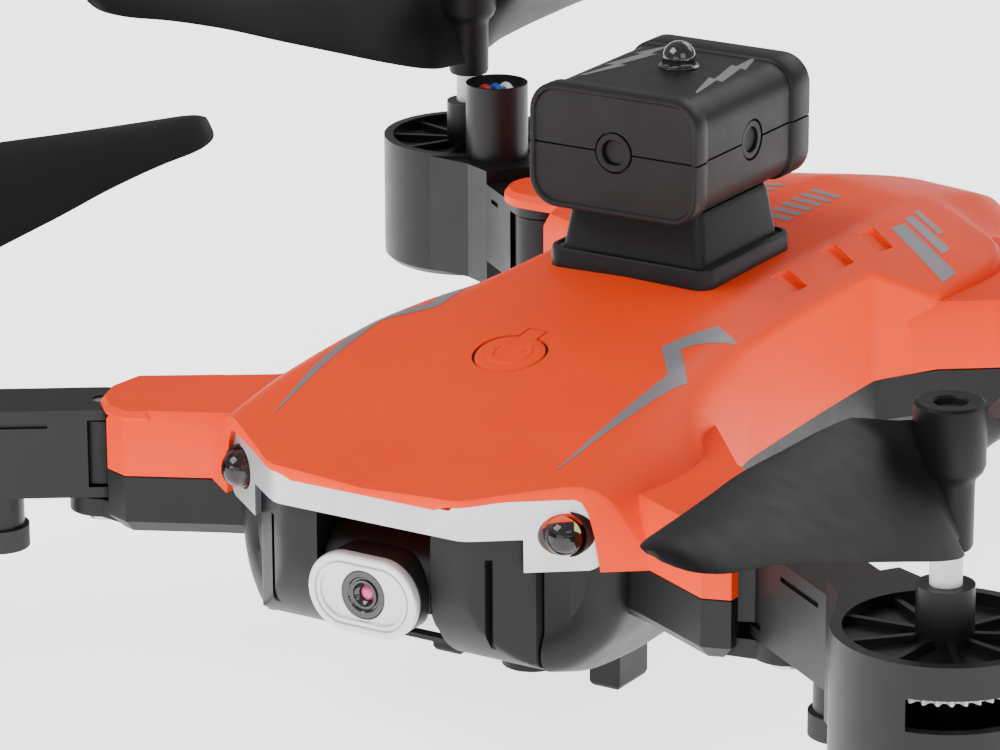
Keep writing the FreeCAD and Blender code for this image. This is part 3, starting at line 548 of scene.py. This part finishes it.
# power button: a domed disc with a tongue and an embossed ring with a bar
rings = []
for radius, drop in BUTTON_DOME:
    ring = []
    for k in range(72):
        a = 2 * math.pi * k / 72
        x, y = radius * math.cos(a), BUTTON_Y + radius * math.sin(a)
        ring.append((x, y, hood_z(x, y) - drop))
    rings.append(ring)
disc = loft(rings)
tongue = [follow([(1.2, BUTTON_Y + v), (-1.2, BUTTON_Y + v)]) for v in (4.3, 5.2, 6.1, 6.85)]
tongue = loft([[(x, y, z - 1.2) for x, y, z in pair[::-1]][::-1] + pair[::-1] for pair in tongue])
button = piece("button_cap", *merge(disc, tongue), ORANGE, "power_button", "orange_shell", smooth=28)
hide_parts("power_button")
# painted shade in the gap round the button: a near-black ring, open where the tongue passes
sections = []
for k in range(65):
    a = math.radians(112 + 316 * k / 64)
    section = []
    for radius, drop in ((5.08, 1.6), (5.08, 0.3), (4.7, 0.3), (4.7, 1.6)):
        x, y = radius * math.cos(a), BUTTON_Y + radius * math.sin(a)
        section.append((x, y, hood_z(x, y) - drop))
    sections.append(section)
piece("button_gap_shade", *loft(sections), PAINTED_SHADE_BLACK, "hull", "black_shell")
arc = [(2.55 * math.cos(a), BUTTON_Y + 2.55 * math.sin(a))
       for a in (math.radians(62 + 296 * k / 40 + 60) for k in range(41))]
piece("button_mark", *merge(ribbon(arc, 0.75, 0.16),
      ribbon([(0.9, BUTTON_Y + 0.2), (1.45, BUTTON_Y + 1.4), (1.9, BUTTON_Y + 2.6)], 0.75, 0.16)),
      ORANGE, "power_button", "orange_shell", bevel=0.06, steps=2)


def decal(left, right, mat, name, body="hull", rows=6, across=5, lift=0.045, surface=hood_z):
    """A printed patch between two plan edges that have the same number of stations."""
    verts, faces = [], []
    line = []
    for i in range(len(left) - 1):
        for t in np.linspace(0, 1, rows, endpoint=i == len(left) - 2):
            a = np.array(left[i]) * (1 - t) + np.array(left[i + 1]) * t
            b = np.array(right[i]) * (1 - t) + np.array(right[i + 1]) * t
            line.append((a, b))
    for a, b in line:
        for u in np.linspace(0, 1, across):
            x, y = a * (1 - u) + b * u
            verts.append((x, y, surface(x, y) + lift))
    for j in range(len(line) - 1):
        for i in range(across - 1):
            k = j * across + i
            faces.append([k, k + 1, k + across + 1, k + across])
    return piece(name, verts, faces, mat, body, "black_shell", smooth=60)


# side stripes of the hood
outer = [(21.1, 3.4), (22.8, 16.0), (23.9, 30.3), (19.0, 37.0), (21.6, 47.4)]
inner = [(20.9, 3.5), (21.5, 16.0), (21.7, 29.0), (16.9, 35.8), (18.3, 47.9)]
# plain bars and dashes behind the head: y of both edges, x of both ends
BARS = ((99.4, 103.4, 25.4, 16.6), (104.8, 107.4, 22.4, 15.8), (108.8, 110.4, 19.8, 15.2))
for side, tag in ((1, "right"), (-1, "left")):
    edges = [[(side * x, y) for x, y in edge] for edge in (outer, inner)]
    decal(*edges, DECAL, "stripe_" + tag, rows=16)
    for k, (y0, y1, x0, x1) in enumerate(BARS):
        decal([(side * x0, y0 - 1.2), (side * x1, y0)], [(side * x0, y1 - 1.2), (side * x1, y1)], DECAL,
              "bar_%s_%d" % (tag, k), rows=14)
    for k, y in enumerate((88.2, 91.0, 93.8, 96.6, 99.4, 102.2)):
        decal([(side * 2.2, y), (side * 6.6, y)], [(side * 2.2, y + 1.6), (side * 6.6, y + 1.6)], DECAL,
              "dash_%s_%d" % (tag, k))

# ---------------------------------------------------------------------------
# Shoulder blocks and their covers
# ---------------------------------------------------------------------------
FRONT_PLAN = [(24, 9.5), (31.0, 6.6), (42.8, 0.7), (46.4, 1.9), (46.4, 17.0), (35.3, 24.5), (22, 40)]
FRONT_LIP = [(40, 2.3), (42.8, 0.7), (46.4, 1.9), (49.4, 4.8), (50.9, 9.0), (50.4, 14.4), (40, 21.3)]
REAR_PLAN = [(18, 84), (20.9, 86.4), (26.9, 94.6), (33.8, 99.6), (42.2, 103.6), (43.2, 108.0),
             (43.2, 121.0), (36.0, 125.0), (18, 128)]
FRONT_PIVOT = (51.2, 7.6)
REAR_PIVOT = (49.5, 116.0)


def tongue_plan(pivot, radius, angle, length, width):
    """A round end about the pivot with a straight bar that leaves it at an angle."""
    spread = math.degrees(math.asin(min(1, width / 2 / radius)))
    plan = [away(pivot, angle, length, -width / 2), away(pivot, angle, length, width / 2)]
    for k in range(37):
        a = math.radians(angle + spread + (360 - 2 * spread) * k / 36)
        plan.append((pivot[0] + radius * math.cos(a), pivot[1] + radius * math.sin(a)))
    return plan[::-1]


rear_lip = [(41, 110.0)] + [(49.5 + 6 * math.cos(a), 116 + 6 * math.sin(a))
                            for a in (math.radians(-90 + 180 * k / 24) for k in range(25))] + [(41, 122.0)]
for side, tag in ((1, "right"), (-1, "left")):
    put = (lambda shape: shape) if side > 0 else mirrored
    cover = merge(slab(FRONT_PLAN, [(SEAM + 0.03, 0.1), (SEAM + 0.15, 0), (2.0, 0), (4.0, 0.8)]),
                  slab(FRONT_LIP, [(2.75, 0), (3.2, 0.0), (3.97, 0.55)]))
    piece("front_cover_" + tag, *put(cover), ORANGE, "hull", "orange_shell", bevel=0.3)
    cover = merge(slab(REAR_PLAN, [(SEAM + 0.03, 0.1), (SEAM + 0.15, 0), (2.9, 0), (4.8, 0.9)]),
                  slab(rear_lip, [(2.75, 0), (3.9, 0.0), (4.77, 0.7)]))
    piece("rear_cover_" + tag, *put(cover), ORANGE, "hull", "orange_shell", bevel=0.3)
    root = merge(slab(FRONT_PLAN, [(-12.8, 1.7), (-11.0, 0.0), (SEAM - 0.12, 0.0), (SEAM - 0.02, 0.12)]),
                 prism(tongue_plan(FRONT_PIVOT, 4.6, 190, 8, 7), -12.4, -9.9),
                 prism(tongue_plan(FRONT_PIVOT, 4.4, 200, 7.5, 4.4), -7.9, 0.7))
    piece("front_root_" + tag, *put(root), BLACK, "hull", "black_shell", bevel=0.3)
    root = merge(slab(REAR_PLAN, [(-12.8, 1.7), (-11.0, 0.0), (SEAM - 0.12, 0.0), (SEAM - 0.02, 0.12)]),
                 prism(tongue_plan(REAR_PIVOT, 4.6, 180, 9, 7), -12.4, -9.9),
                 prism(tongue_plan(REAR_PIVOT, 4.4, 165, 8.5, 4.4), -7.9, 0.7))
    piece("rear_root_" + tag, *put(root), BLACK, "hull", "black_shell", bevel=0.3)
    for y0, where in ((29.6, "front"), (104.0, "rear")):
        leg = slab([(9.8, y0), (14.4, y0), (14.4, y0 + 7.6), (9.8, y0 + 7.6)],
                   [(-32.8, 0.45), (-32.3, 0.0), (-24.0, 0.0), (-22.0, -0.5)])
        piece("leg_%s_%s" % (where, tag), *put(leg), BLACK, "hull", "black_shell", bevel=0.45)

# ---------------------------------------------------------------------------
# Belly
# ---------------------------------------------------------------------------
# y, seam half width, chine (x, z), keel edge (x, z), chine softness, keel softness
BELLY = np.array([
    (-10.0, 28.0, 27.2, -12.6, 20.0, -15.8, 3.0, 3.0),
    (-2.0, 28.6, 27.8, -13.8, 21.6, -18.2, 4.0, 3.0),
    (6.0, 29.2, 28.0, -14.4, 22.0, -20.8, 4.0, 3.0),
    (13.0, 29.0, 27.6, -14.8, 21.0, -23.0, 4.0, 3.0),
    (30.0, 27.0, 25.2, -15.0, 19.0, -25.6, 3.0, 3.0),
    (50.0, 22.8, 22.0, -15.0, 18.0, -26.2, 3.0, 3.0),
    (86.0, 21.6, 21.0, -15.0, 17.6, -26.2, 3.0, 3.0),
    (110.0, 22.8, 22.0, -15.0, 17.6, -25.6, 3.0, 3.0),
    (130.0, 19.6, 18.6, -14.0, 15.6, -22.0, 3.0, 3.0),
    (147.0, 15.6, 14.6, -11.0, 12.0, -16.0, 3.0, 3.0),
])
TAIL_CUT = 134.0


def belly_half(y, inset=0.0):
    s, cx, cz, kx, kz, a, b = hermite(BELLY, y)
    half = softened([(s, SEAM), (cx, cz), (kx, kz), (0, kz)], [a, b], [5, 6, 10], [9, 9])
    return [(x * (1 - inset / 27), SEAM + (z - SEAM) * (1 - inset / 14)) for x, z in half]


BELLY_POINTS = len(belly_half(0.0))
ROUND = 3.8               # radius of the belly's front edge
# how far along the belly each row stands, closer together round the front edge
ROW_STEPS = [0, 0.0006, 0.002, 0.0045, 0.008, 0.013, 0.02, 0.028]
ROW_STEPS += [0.04 + 0.96 * (k / 60) for k in range(61)]
belly_rows = []
for t in ROW_STEPS:
    ring = []
    for i in range(BELLY_POINTS):
        y = 0.0
        for _ in range(6):
            y_front = soft_nose_y(belly_half(y)[i][0], 0.35)
            y = y_front + t * (TAIL_CUT - y_front)
        d = y - y_front
        inset = ROUND - math.sqrt(max(ROUND ** 2 - max(ROUND - d, 0) ** 2, 0))
        x, z = belly_half(y, inset)[i]
        ring.append((x, y, z))
    belly_rows.append(ring + [(-x, y, z) for x, y, z in reversed(ring[:-1])])
belly = piece("belly_skin", *shell_solid(belly_rows, [-99.0] * len(belly_rows[0]), lambda x, y: SEAM),
              BLACK, "hull", "black_shell", smooth=28)
CAM_Y, CAM_Z = 1.0, -9.8
CAM_ROOM = pipe_x(-8.4, 8.4, CAM_Y, CAM_Z, 11.8)
cut(belly, *block(-20.7, 20.7, -20, 8, -40, 5), own=True)
cut(belly, *CAM_ROOM, own=True)
battery_bay = block(-13.8, 13.8, 71.6, 160, -18.8, -6.7)
flow_eye = lathe(0, 31.5, [(4.1, -40), (4.1, -20)], 48, True)
cut(belly, *merge(battery_bay, flow_eye))
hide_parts("lower_shell")

# ---------------------------------------------------------------------------
# Nose: frame, bezel, headlights
# ---------------------------------------------------------------------------
FRAME_CURVE = np.array([(0, -5.9, -0.6), (1, -6.1, -4.0), (2, -6.0, -8.5), (3, -5.2, -12.0), (4, -3.6, -15.0),
                        (5, -1.2, -17.4), (6, 2.2, -19.2), (7, 7.7, -20.4)])
profile = [hermite(FRAME_CURVE, t) for t in np.linspace(0, 6.999, 36)]
rings = []
for x in sorted(set([-20.4, 20.4] + list(np.linspace(-20.1, 20.1, 68)) + [-13.9, 13.9])):
    round_off = max(0, abs(x) - 20.1)
    wall = [(max(y, soft_nose_y(x, 1.4)) + round_off, z) for y, z in profile]
    rings.append([(x, y, z) for y, z in wall] + [(x, 7.9, -20.4), (x, 7.9, -0.6)])
nose = piece("nose_frame_skin", *loft(rings), BLACK, "hull", "black_shell", smooth=30)
cut(nose, *CAM_ROOM)
window = rounded_plan([(-8.4, -3.8), (8.4, -3.8), (8.4, -22), (-8.4, -22)], 1.4)
cut(nose, [(x, -12, z) for x, z in window] + [(x, 0.5, z) for x, z in window], prism(window, 0, 1)[1])
cut(nose, *merge(block(-16.7, -15.9, -9, -3.2, -15.8, -3.4), block(15.5, 16.3, -9, -3.2, -15.8, -3.4)))
soft_rims(nose, 0.25, 2, 45)
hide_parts("nose_frame")


def bezel_low(x):
    return -4.8 + max(0.0, 1.0 - (27.6 - x)) * 0.8 if x >= 19.9 else -0.5


def bezel_top(x):
    t = np.clip((x - 12.0) / 1.6, 0, 1)
    top = 3.2 + 1.45 * t
    if x > 25.2:
        top = 4.65 - 2.4 + math.sqrt(max(2.4 ** 2 - (x - 25.2) ** 2, 0))
    return float(top)


stations = list(np.linspace(0, 11.8, 8)) + [12.0, 12.6, 13.2, 13.6] + list(np.linspace(14.2, 19.5, 6))
stations += [19.88, 19.92] + list(np.linspace(20.6, 25.2, 6)) + [25.8, 26.3, 26.8, 27.2, 27.45, 27.58]
stations = [-x for x in reversed(stations) if x > 0] + stations
rings = []
for x in stations:
    a, b = bezel_low(abs(x)), bezel_top(abs(x))
    y = soft_nose_y(x)
    rings.append([(x, y, a), (x, y, b), (x, y + 1.4, b), (x, y + 1.4, a)])
bezel = piece("bezel_skin", *loft(rings), BEZEL, "hull", "bezel_silver", smooth=30)
cut(bezel, *merge(*(lathe_y(x, 0, [(2.75, -9), (2.75, 9)], 56, True) for x in (24, -24))))
soft_rims(bezel, 0.3, 3, 40)
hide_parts("nose_bezel")
# each headlight's dark parts, as (radius, y) profiles: the tube behind the dome, the cup, the base
LAMP_PARTS = (
    ("lamp_socket_", [(2.95, 0.6), (2.95, 6.6), (2.62, 6.6), (2.62, 0.9), (2.95, 0.6)], 56),
    ("lamp_cup_", [(1.25, 0.9), (0.55, 2.0), (0.05, 2.0)], 32),
    ("lamp_base_", [(2.45, 5.2), (2.45, 6.5), (0.05, 6.5)], 32),
)
for side, tag in ((1, "right"), (-1, "left")):
    x = side * 24
    for name, profile, count in LAMP_PARTS:
        piece(name + tag, *lathe_y(x, 0, profile, count), PAINTED_SHADE_BLACK, "hull", "black_shell")
    die = block(x - 0.3, x + 0.3, 1.55, 1.95, -0.3, 0.3)
    piece("lamp_die_" + tag, *die, PHOSPHOR, "hull", "steel", bevel=0.05)


# ---------------------------------------------------------------------------
# Camera
# ---------------------------------------------------------------------------
def stadium_ring(width, height, inset, y, count=96):
    """A long round-ended outline facing the nose."""
    r = height / 2 - inset
    x0 = width / 2 - height / 2
    ring = []
    for k in range(count):
        a = 2 * math.pi * (k + 0.5) / count
        ring.append(((x0 if math.cos(a) > 0 else -x0) + r * math.cos(a), y, CAM_Z + r * math.sin(a)))
    return ring


def round_ring(radius, y, count=96):
    """A round outline facing the nose, with its points opposite a stadium_ring's."""
    ring = []
    for k in range(count):
        a = 2 * math.pi * (k + 0.5) / count
        ring.append((radius * math.cos(a), y, CAM_Z + radius * math.sin(a)))
    return ring


# (inset, y) of the silver face, from its back edge over the stepped front
FACE_STEPS = (
    (1.2, -7.5), (0.25, -7.5), (0.02, -7.65), (0.0, -7.9), (0.0, -8.55), (0.12, -8.78), (0.35, -8.88),
    (0.95, -8.9), (1.03, -8.86), (1.08, -8.62), (1.2, -8.6), (1.28, -8.82), (1.36, -8.86), (1.75, -8.84),
    (1.82, -8.8), (1.86, -8.55), (1.95, -8.52),
)
SLEEVE_STEPS = ((0.5, -7.6), (0.0, -7.3), (0.0, -2.4), (0.3, -2.1), (2.0, -1.8))
LENS_PROFILE = [
    (3.18, -7.6), (3.18, -8.25), (3.05, -8.4), (2.35, -8.4), (2.2, -8.2), (1.95, -8.12), (1.85, -8.3),
    (1.55, -8.3), (1.45, -8.05), (1.05, -7.7), (0.95, -7.2), (0.02, -7.2),
]
rings = [stadium_ring(15.9, 10.4, d, y) for d, y in FACE_STEPS]
rings += [round_ring(3.28, -8.5), round_ring(3.2, -8.42), round_ring(3.2, -7.5)]
ring = piece("camera_face", *loft(rings, True, False), SILVER, "camera", "camera_silver", smooth=35)
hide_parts("camera_ring")
rings = [stadium_ring(15.8, 10.2, d, y) for d, y in SLEEVE_STEPS]
barrel = piece("camera_sleeve", *loft(rings, True, False), BLACK, "camera", "black_shell", smooth=35)
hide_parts("camera_barrel")
# thin dark cover over the top of the camera's drum
rings = []
for x in (-8.05, 8.05):
    outer_arc, inner_arc = [], []
    for k in range(33):
        a = math.radians(-18 + 190 * k / 32)
        outer_arc.append((x, CAM_Y - 6.62 * math.cos(a), CAM_Z + 6.62 * math.sin(a)))
        inner_arc.append((x, CAM_Y - 6.3 * math.cos(a), CAM_Z + 6.3 * math.sin(a)))
    rings.append(outer_arc + inner_arc[::-1])
piece("camera_cover", *loft(rings), BLACK, "camera", "black_shell", bevel=0.1)
lens = lathe_y(0, CAM_Z, LENS_PROFILE, 64)
lens = piece("lens_stack", *lens, GLOSS, "camera", "gloss_black", smooth=30)
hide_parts("camera_lens_barrel")
dome = []
for a in (math.radians(d) for d in (0, 20, 40, 60, 80, 89)):
    dome.append((0.98 * math.cos(a), -7.35 - 0.35 * math.sin(a)))
glass_dome = piece("lens_glass", *lathe_y(0, CAM_Z, dome, 40), PINK, "camera", "tinted_glass", smooth=60)
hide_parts("camera_glass")

# ---------------------------------------------------------------------------
# Sensing head
# ---------------------------------------------------------------------------
EYE = 32.4


def head_ring(y, inset):
    """The head's rounded outline facing the nose, with the parting groove in both sides."""
    x, z0, z1 = 12.8 - inset, 23.8 + inset, 40.7 - inset
    r = 4.0 - 0.7 * inset
    out = [(x, EYE + 0.14), ]
    for cx, cz, a0 in ((x - r, z1 - r, 0), (-(x - r), z1 - r, 90)):
        out += [turned(cx, cz, r, a0 + 90 * k / 9) for k in range(10)]
    out += [(-x, EYE + 0.14), (-x + 0.35, EYE + 0.1), (-x + 0.35, EYE - 0.1), (-x, EYE - 0.14)]
    for cx, cz, a0 in ((-(x - r), z0 + r, 180), (x - r, z0 + r, 270)):
        out += [turned(cx, cz, r, a0 + 90 * k / 9) for k in range(10)]
    out += [(x, EYE - 0.14), (x - 0.35, EYE - 0.1), (x - 0.35, EYE + 0.1)]
    return [(px, y, pz) for px, pz in out]


# (y, inset) of the head's outline, front to back, with the sunk waist between its two end frames
HEAD_STACK = [
    (52.15, 1.0), (52.15, 0.88), (51.88, 0.74), (51.8, 0.6), (51.8, 0.32), (51.9, 0.1), (52.15, 0.0),
    (54.4, 0.0), (54.65, 0.08), (54.85, 0.42), (77.6, 0.42), (77.8, 0.08), (78.0, 0.0), (82.1, 0.0),
    (82.45, 0.14), (82.6, 0.5),
]
shell = loft([head_ring(y, d) for y, d in HEAD_STACK])
shell = piece("head_shell", *shell, BLACK, "sensing_head", "black_shell", smooth=32)
MID = 67.2
cut(shell, *block(-11.9, 11.9, 50, 52.55, EYE - 0.13, EYE + 0.13), smooth=32)
cut(shell, *lathe_y(0, EYE, [(2.82, 50), (2.82, 52.7)], 48, True), smooth=32)
cut(shell, *merge(pipe_x(11.7, 14, MID, EYE, 2.82), pipe_x(-14, -11.7, MID, EYE, 2.82),
                  lathe_y(0, EYE, [(1.72, 51), (1.72, 57)], 48, True),
                  lathe_y(0, EYE, [(1.72, 78), (1.72, 84)], 48, True)), smooth=32)
cut(shell, *merge(pipe_x(7.6, 12.2, MID, EYE, 1.72), pipe_x(-12.2, -7.6, MID, EYE, 1.72)), smooth=32)
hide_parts("head_upper", "head_lower")
rim = [(1.72, 4.5), (1.72, 0.12), (1.82, 0.02), (2.5, 0.02), (2.6, 0.12), (2.6, 1.0)]
front_rim = lathe_y(0, EYE, [(r, 51.95 + d) for r, d in rim], 56)
piece("head_rim_front", *front_rim, BLACK, "sensing_head", "black_shell", smooth=35)
for side, tag in ((1, "right"), (-1, "left")):
    verts, faces = lathe_y(0, 0, [(r, d) for r, d in rim], 56)
    piece("head_rim_" + tag, [(side * (12.3 - y), MID + x, EYE + z) for x, y, z in verts], faces, BLACK,
          "sensing_head", "black_shell", smooth=35)
profile = [(2.78, 40.1), (2.78, 40.45), (2.6, 40.62), (2.32, 40.66)]
profile += [turned(0, 41.5, 2.26, a) for a in range(-10, 90, 8)]
profile += [(0.02, 43.76)]
dome = piece("head_lamp", *lathe(0, 69.2, profile, 64), GLOSS, "sensing_head", "gloss_black", smooth=45)
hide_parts("head_dome")


def plan_rect(hx, hy, r, z):
    """A rounded rectangle about the middle of the head, at a height."""
    out = []
    for sx, sy, a0 in ((1, 1, 0), (-1, 1, 90), (-1, -1, 180), (1, -1, 270)):
        corner = (sx * (hx - r), MID + sy * (hy - r))
        out += [(*turned(*corner, r, a0 + 90 * k / 7), z) for k in range(8)]
    return out


# half width, half depth, corner radius and height, from the plinth up the neck
NECK_ROWS = (
    (12.4, 12.0, 2.4, 13.4), (12.4, 12.0, 2.4, 16.75), (12.2, 11.8, 2.2, 17.08), (11.75, 11.35, 1.9, 17.15),
    (11.5, 11.2, 1.8, 16.8), (11.0, 10.95, 1.8, 16.65), (10.85, 10.85, 1.9, 16.9), (9.95, 9.95, 1.9, 23.3),
    (9.6, 9.6, 1.8, 23.9),
)
base = loft([plan_rect(*row) for row in NECK_ROWS])
base = piece("head_neck", *base, BLACK, "sensing_head", "black_shell", smooth=32)
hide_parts("head_base")
# a plain zigzag along both edges of the head's top
bolt = [(9.0, 58.2), (7.9, 65.4), (9.0, 65.0), (7.6, 72.4), (8.6, 72.0), (6.3, 79.4)]
bolt_back = [(8.4, 58.9), (6.3, 66.2), (7.3, 66.0), (5.7, 73.4), (6.6, 73.0), (6.2, 79.2)]
for side, tag in ((1, "right"), (-1, "left")):
    decal([(side * x, y) for x, y in bolt], [(side * x, y) for x, y in bolt_back], DECAL, "head_mark_" + tag,
          "sensing_head", surface=lambda x, y: 40.28, lift=0.03)

# ---------------------------------------------------------------------------
# Propellers
# ---------------------------------------------------------------------------
# radius, leading edge, trailing edge, height of each
BLADE = np.array([
    (0.0, 2.0, -2.2, 29.6, 16.6), (3.2, 3.6, -3.4, 29.6, 16.6),
    (8.0, 8.2, -7.5, 30.2, 17.4), (14.0, 7.9, -9.5, 30.5, 19.0),
    (22.0, 6.9, -10.4, 30.8, 21.4), (32.0, 5.8, -10.4, 31.1, 24.3), (42.0, 3.6, -10.0, 31.4, 27.2),
    (50.0, 1.8, -9.5, 31.7, 28.9), (55.0, 0.7, -9.0, 31.9, 29.6), (58.0, 0.0, -7.9, 32.0, 30.2),
    (59.6, -0.7, -6.3, 32.0, 30.7), (60.4, -2.0, -4.0, 31.9, 31.4)])


def blade(centre, angle, clockwise):
    """One twisted, cambered blade about a rotor's centre."""
    lead = -1.0 if clockwise else 1.0
    rings = []
    for r in list(np.linspace(0.5, 56, 48)) + [57, 58, 58.8, 59.4, 59.9, 60.2, 60.35]:
        le, te, zl, zt = hermite(BLADE, min(r, 60.39))
        thick = 0.75 - 0.006 * r
        upper, lower_run = [], []
        for k in range(13):
            f = 0.5 - 0.5 * math.cos(math.pi * k / 12)
            v = te + (le - te) * f
            z = zt + (zl - zt) * f + 1.1 * math.sin(math.pi * f) * min(1, (le - te) / 8)
            swell = math.sin(math.pi * f) ** 0.5 * thick * 0.7
            x, y = away(centre, angle, r, lead * v)
            upper.append((x, y, z + swell))
            lower_run.append((x, y, z - swell))
        rings.append(upper + lower_run[-2:0:-1])
    return loft(rings)


FRONT_POD = (83.2, -14.4)
REAR_POD = (74.8, 135.2)
HUB = [
    (0.9, 29.6), (1.9, 29.6), (1.9, 31.5), (2.1, 31.75), (3.7, 31.8), (4.1, 31.5), (4.2, 30.9), (4.2, 24.4),
    (3.9, 23.6), (3.1, 22.8), (3.0, 22.0), (3.0, 14.9), (2.8, 14.45), (1.98, 14.4), (1.98, 20.4),
]
ROTORS = (
    ("front_right", FRONT_POD, 1, -96, True), ("front_left", FRONT_POD, -1, 66.5, False),
    ("rear_right", REAR_POD, 1, 130, False), ("rear_left", REAR_POD, -1, 50, True),
)
for tag, pod, side, angle, clockwise in ROTORS:
    at = (side * pod[0], pod[1])
    prop = piece("rotor_" + tag, *merge(blade(at, angle, clockwise), blade(at, angle + 180, clockwise),
                                        lathe(at[0], at[1], HUB, 56)),
                 PROP, "prop_" + tag, "propeller_black", smooth=38)
    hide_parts("propeller_" + tag)


# ---------------------------------------------------------------------------
# Wires of the rear motors
# ---------------------------------------------------------------------------
def tube(points, radius, count=12):
    """A round tube along points, carried without twist."""
    turns = [2 * math.pi * k / count for k in range(count)]
    rings = []
    for i, p in enumerate(points):
        start, end = Vector(points[max(i - 1, 0)]), Vector(points[min(i + 1, len(points) - 1)])
        d = (end - start).normalized()
        u = d.orthogonal().normalized()
        w = d.cross(u)
        if rings:
            u = (last_u - d * last_u.dot(d)).normalized()
            w = d.cross(u)
        last_u = u
        rings.append([tuple(Vector(p) + radius * (math.cos(a) * u + math.sin(a) * w)) for a in turns])
    return loft(rings)


WIRES = {"red": (0.45, 0.02, 0.03), "blue": (0.02, 0.08, 0.45), "white": (0.75, 0.75, 0.74)}
WIRE_MATS = {}
for name, colour in WIRES.items():
    WIRE_MATS[name] = plastic("wire_" + name, colour, tuple(v * 0.85 for v in colour), 0.35, 4000, 0.05)
arm_angle = math.degrees(math.atan2(REAR_POD[1] - REAR_PIVOT[1], REAR_POD[0] - REAR_PIVOT[0]))
for side, tag in ((1, "rear_right"), (-1, "rear_left")):
    mx, my = away(REAR_POD, arm_angle + 180, 12)
    for k, (name, mat) in enumerate(WIRE_MATS.items()):
        off = (k - 1) * 1.7
        path = []
        for t in np.linspace(0, 1, 14):
            u = 2.6 - 5.4 * t
            x, y = away((mx, my), arm_angle, u, off)
            path.append((side * x, y, 14.0 + 1.1 * math.sin(math.pi * t)))
        piece("wire_%s_%s" % (name, tag), *tube(path, 0.5), mat, "arm_" + tag, "gloss_black", smooth=60)

# the arms keep their CAD meshes, with softened edges
for tag in ("front_right", "front_left", "rear_right", "rear_left"):
    for kind in ("arm_upper_", "arm_lower_", "foot_"):
        soft_rims(NODES[kind + tag], 0.3, 2, 38)

# ---------------------------------------------------------------------------
# Camera, lights, floor
# ---------------------------------------------------------------------------
def camera():
    az, el, roll = (math.radians(v) for v in (31.94, 18.25, -0.23))
    back = Vector((math.sin(az) * math.cos(el), -math.cos(az) * math.cos(el), math.sin(el)))
    right = Vector((math.cos(az), math.sin(az), 0))
    up = back.cross(right)
    r = math.cos(roll) * right + math.sin(roll) * up
    u = -math.sin(roll) * right + math.cos(roll) * up
    offset = Vector((-12.55, -15.69, -621.9))
    data = bpy.data.cameras.new("main_camera")
    data.lens = 179.82
    data.sensor_width = 36
    data.clip_start = 0.05
    data.clip_end = 20
    obj = bpy.data.objects.new("main_camera", data)
    bpy.context.scene.collection.objects.link(obj)
    place = -(r * offset.x + u * offset.y + back * offset.z)
    obj.matrix_world = Matrix.Translation(P(*place)) @ Matrix((r, u, back)).transposed().to_4x4()
    bpy.context.scene.camera = obj


def softbox(name, at, aim, size, power, colour=(1, 1, 1)):
    data = bpy.data.lights.new(name, "AREA")
    data.shape = "RECTANGLE"
    data.size, data.size_y = size
    data.energy = power
    data.color = colour
    obj = bpy.data.objects.new(name, data)
    bpy.context.scene.collection.objects.link(obj)
    obj.location = Vector(at)
    obj.rotation_euler = (Vector(aim) - Vector(at)).to_track_quat("-Z", "Y").to_euler()


camera()
softbox("key", (-0.55, -0.65, 1.05), (0, 0, 0.03), (0.9, 0.7), 13.0)
softbox("fill", (0.95, -0.55, 0.55), (0, 0, 0.03), (0.7, 0.7), 3.2)
softbox("rear", (0.2, 1.1, 0.75), (0, 0, 0.03), (1.2, 0.5), 4.5)
softbox("nose", (0.15, -1.2, 0.25), (0, -0.05, 0.02), (0.8, 0.35), 1.4)
world = bpy.data.worlds.new("studio")
bpy.context.scene.world = world
world.use_nodes = True
background = world.node_tree.nodes["Background"]
background.inputs["Color"].default_value = (1.0, 1.0, 1.0, 1)
background.inputs["Strength"].default_value = 0.42

mesh = bpy.data.meshes.new("floor")
mesh.from_pydata([(-4, -4, 0), (4, -4, 0), (4, 4, 0), (-4, 4, 0)], [], [[0, 1, 2, 3]])
floor = bpy.data.objects.new("floor", mesh)
bpy.context.scene.collection.objects.link(floor)
paper = plastic("paper_floor", (0.93, 0.93, 0.93), (0.91, 0.91, 0.91), 0.8, 900, 0.05)
paper.node_tree.nodes["Principled BSDF"].inputs["Emission Color"].default_value = (1, 1, 1, 1)
paper.node_tree.nodes["Principled BSDF"].inputs["Emission Strength"].default_value = 2.3
mesh.materials.append(paper)
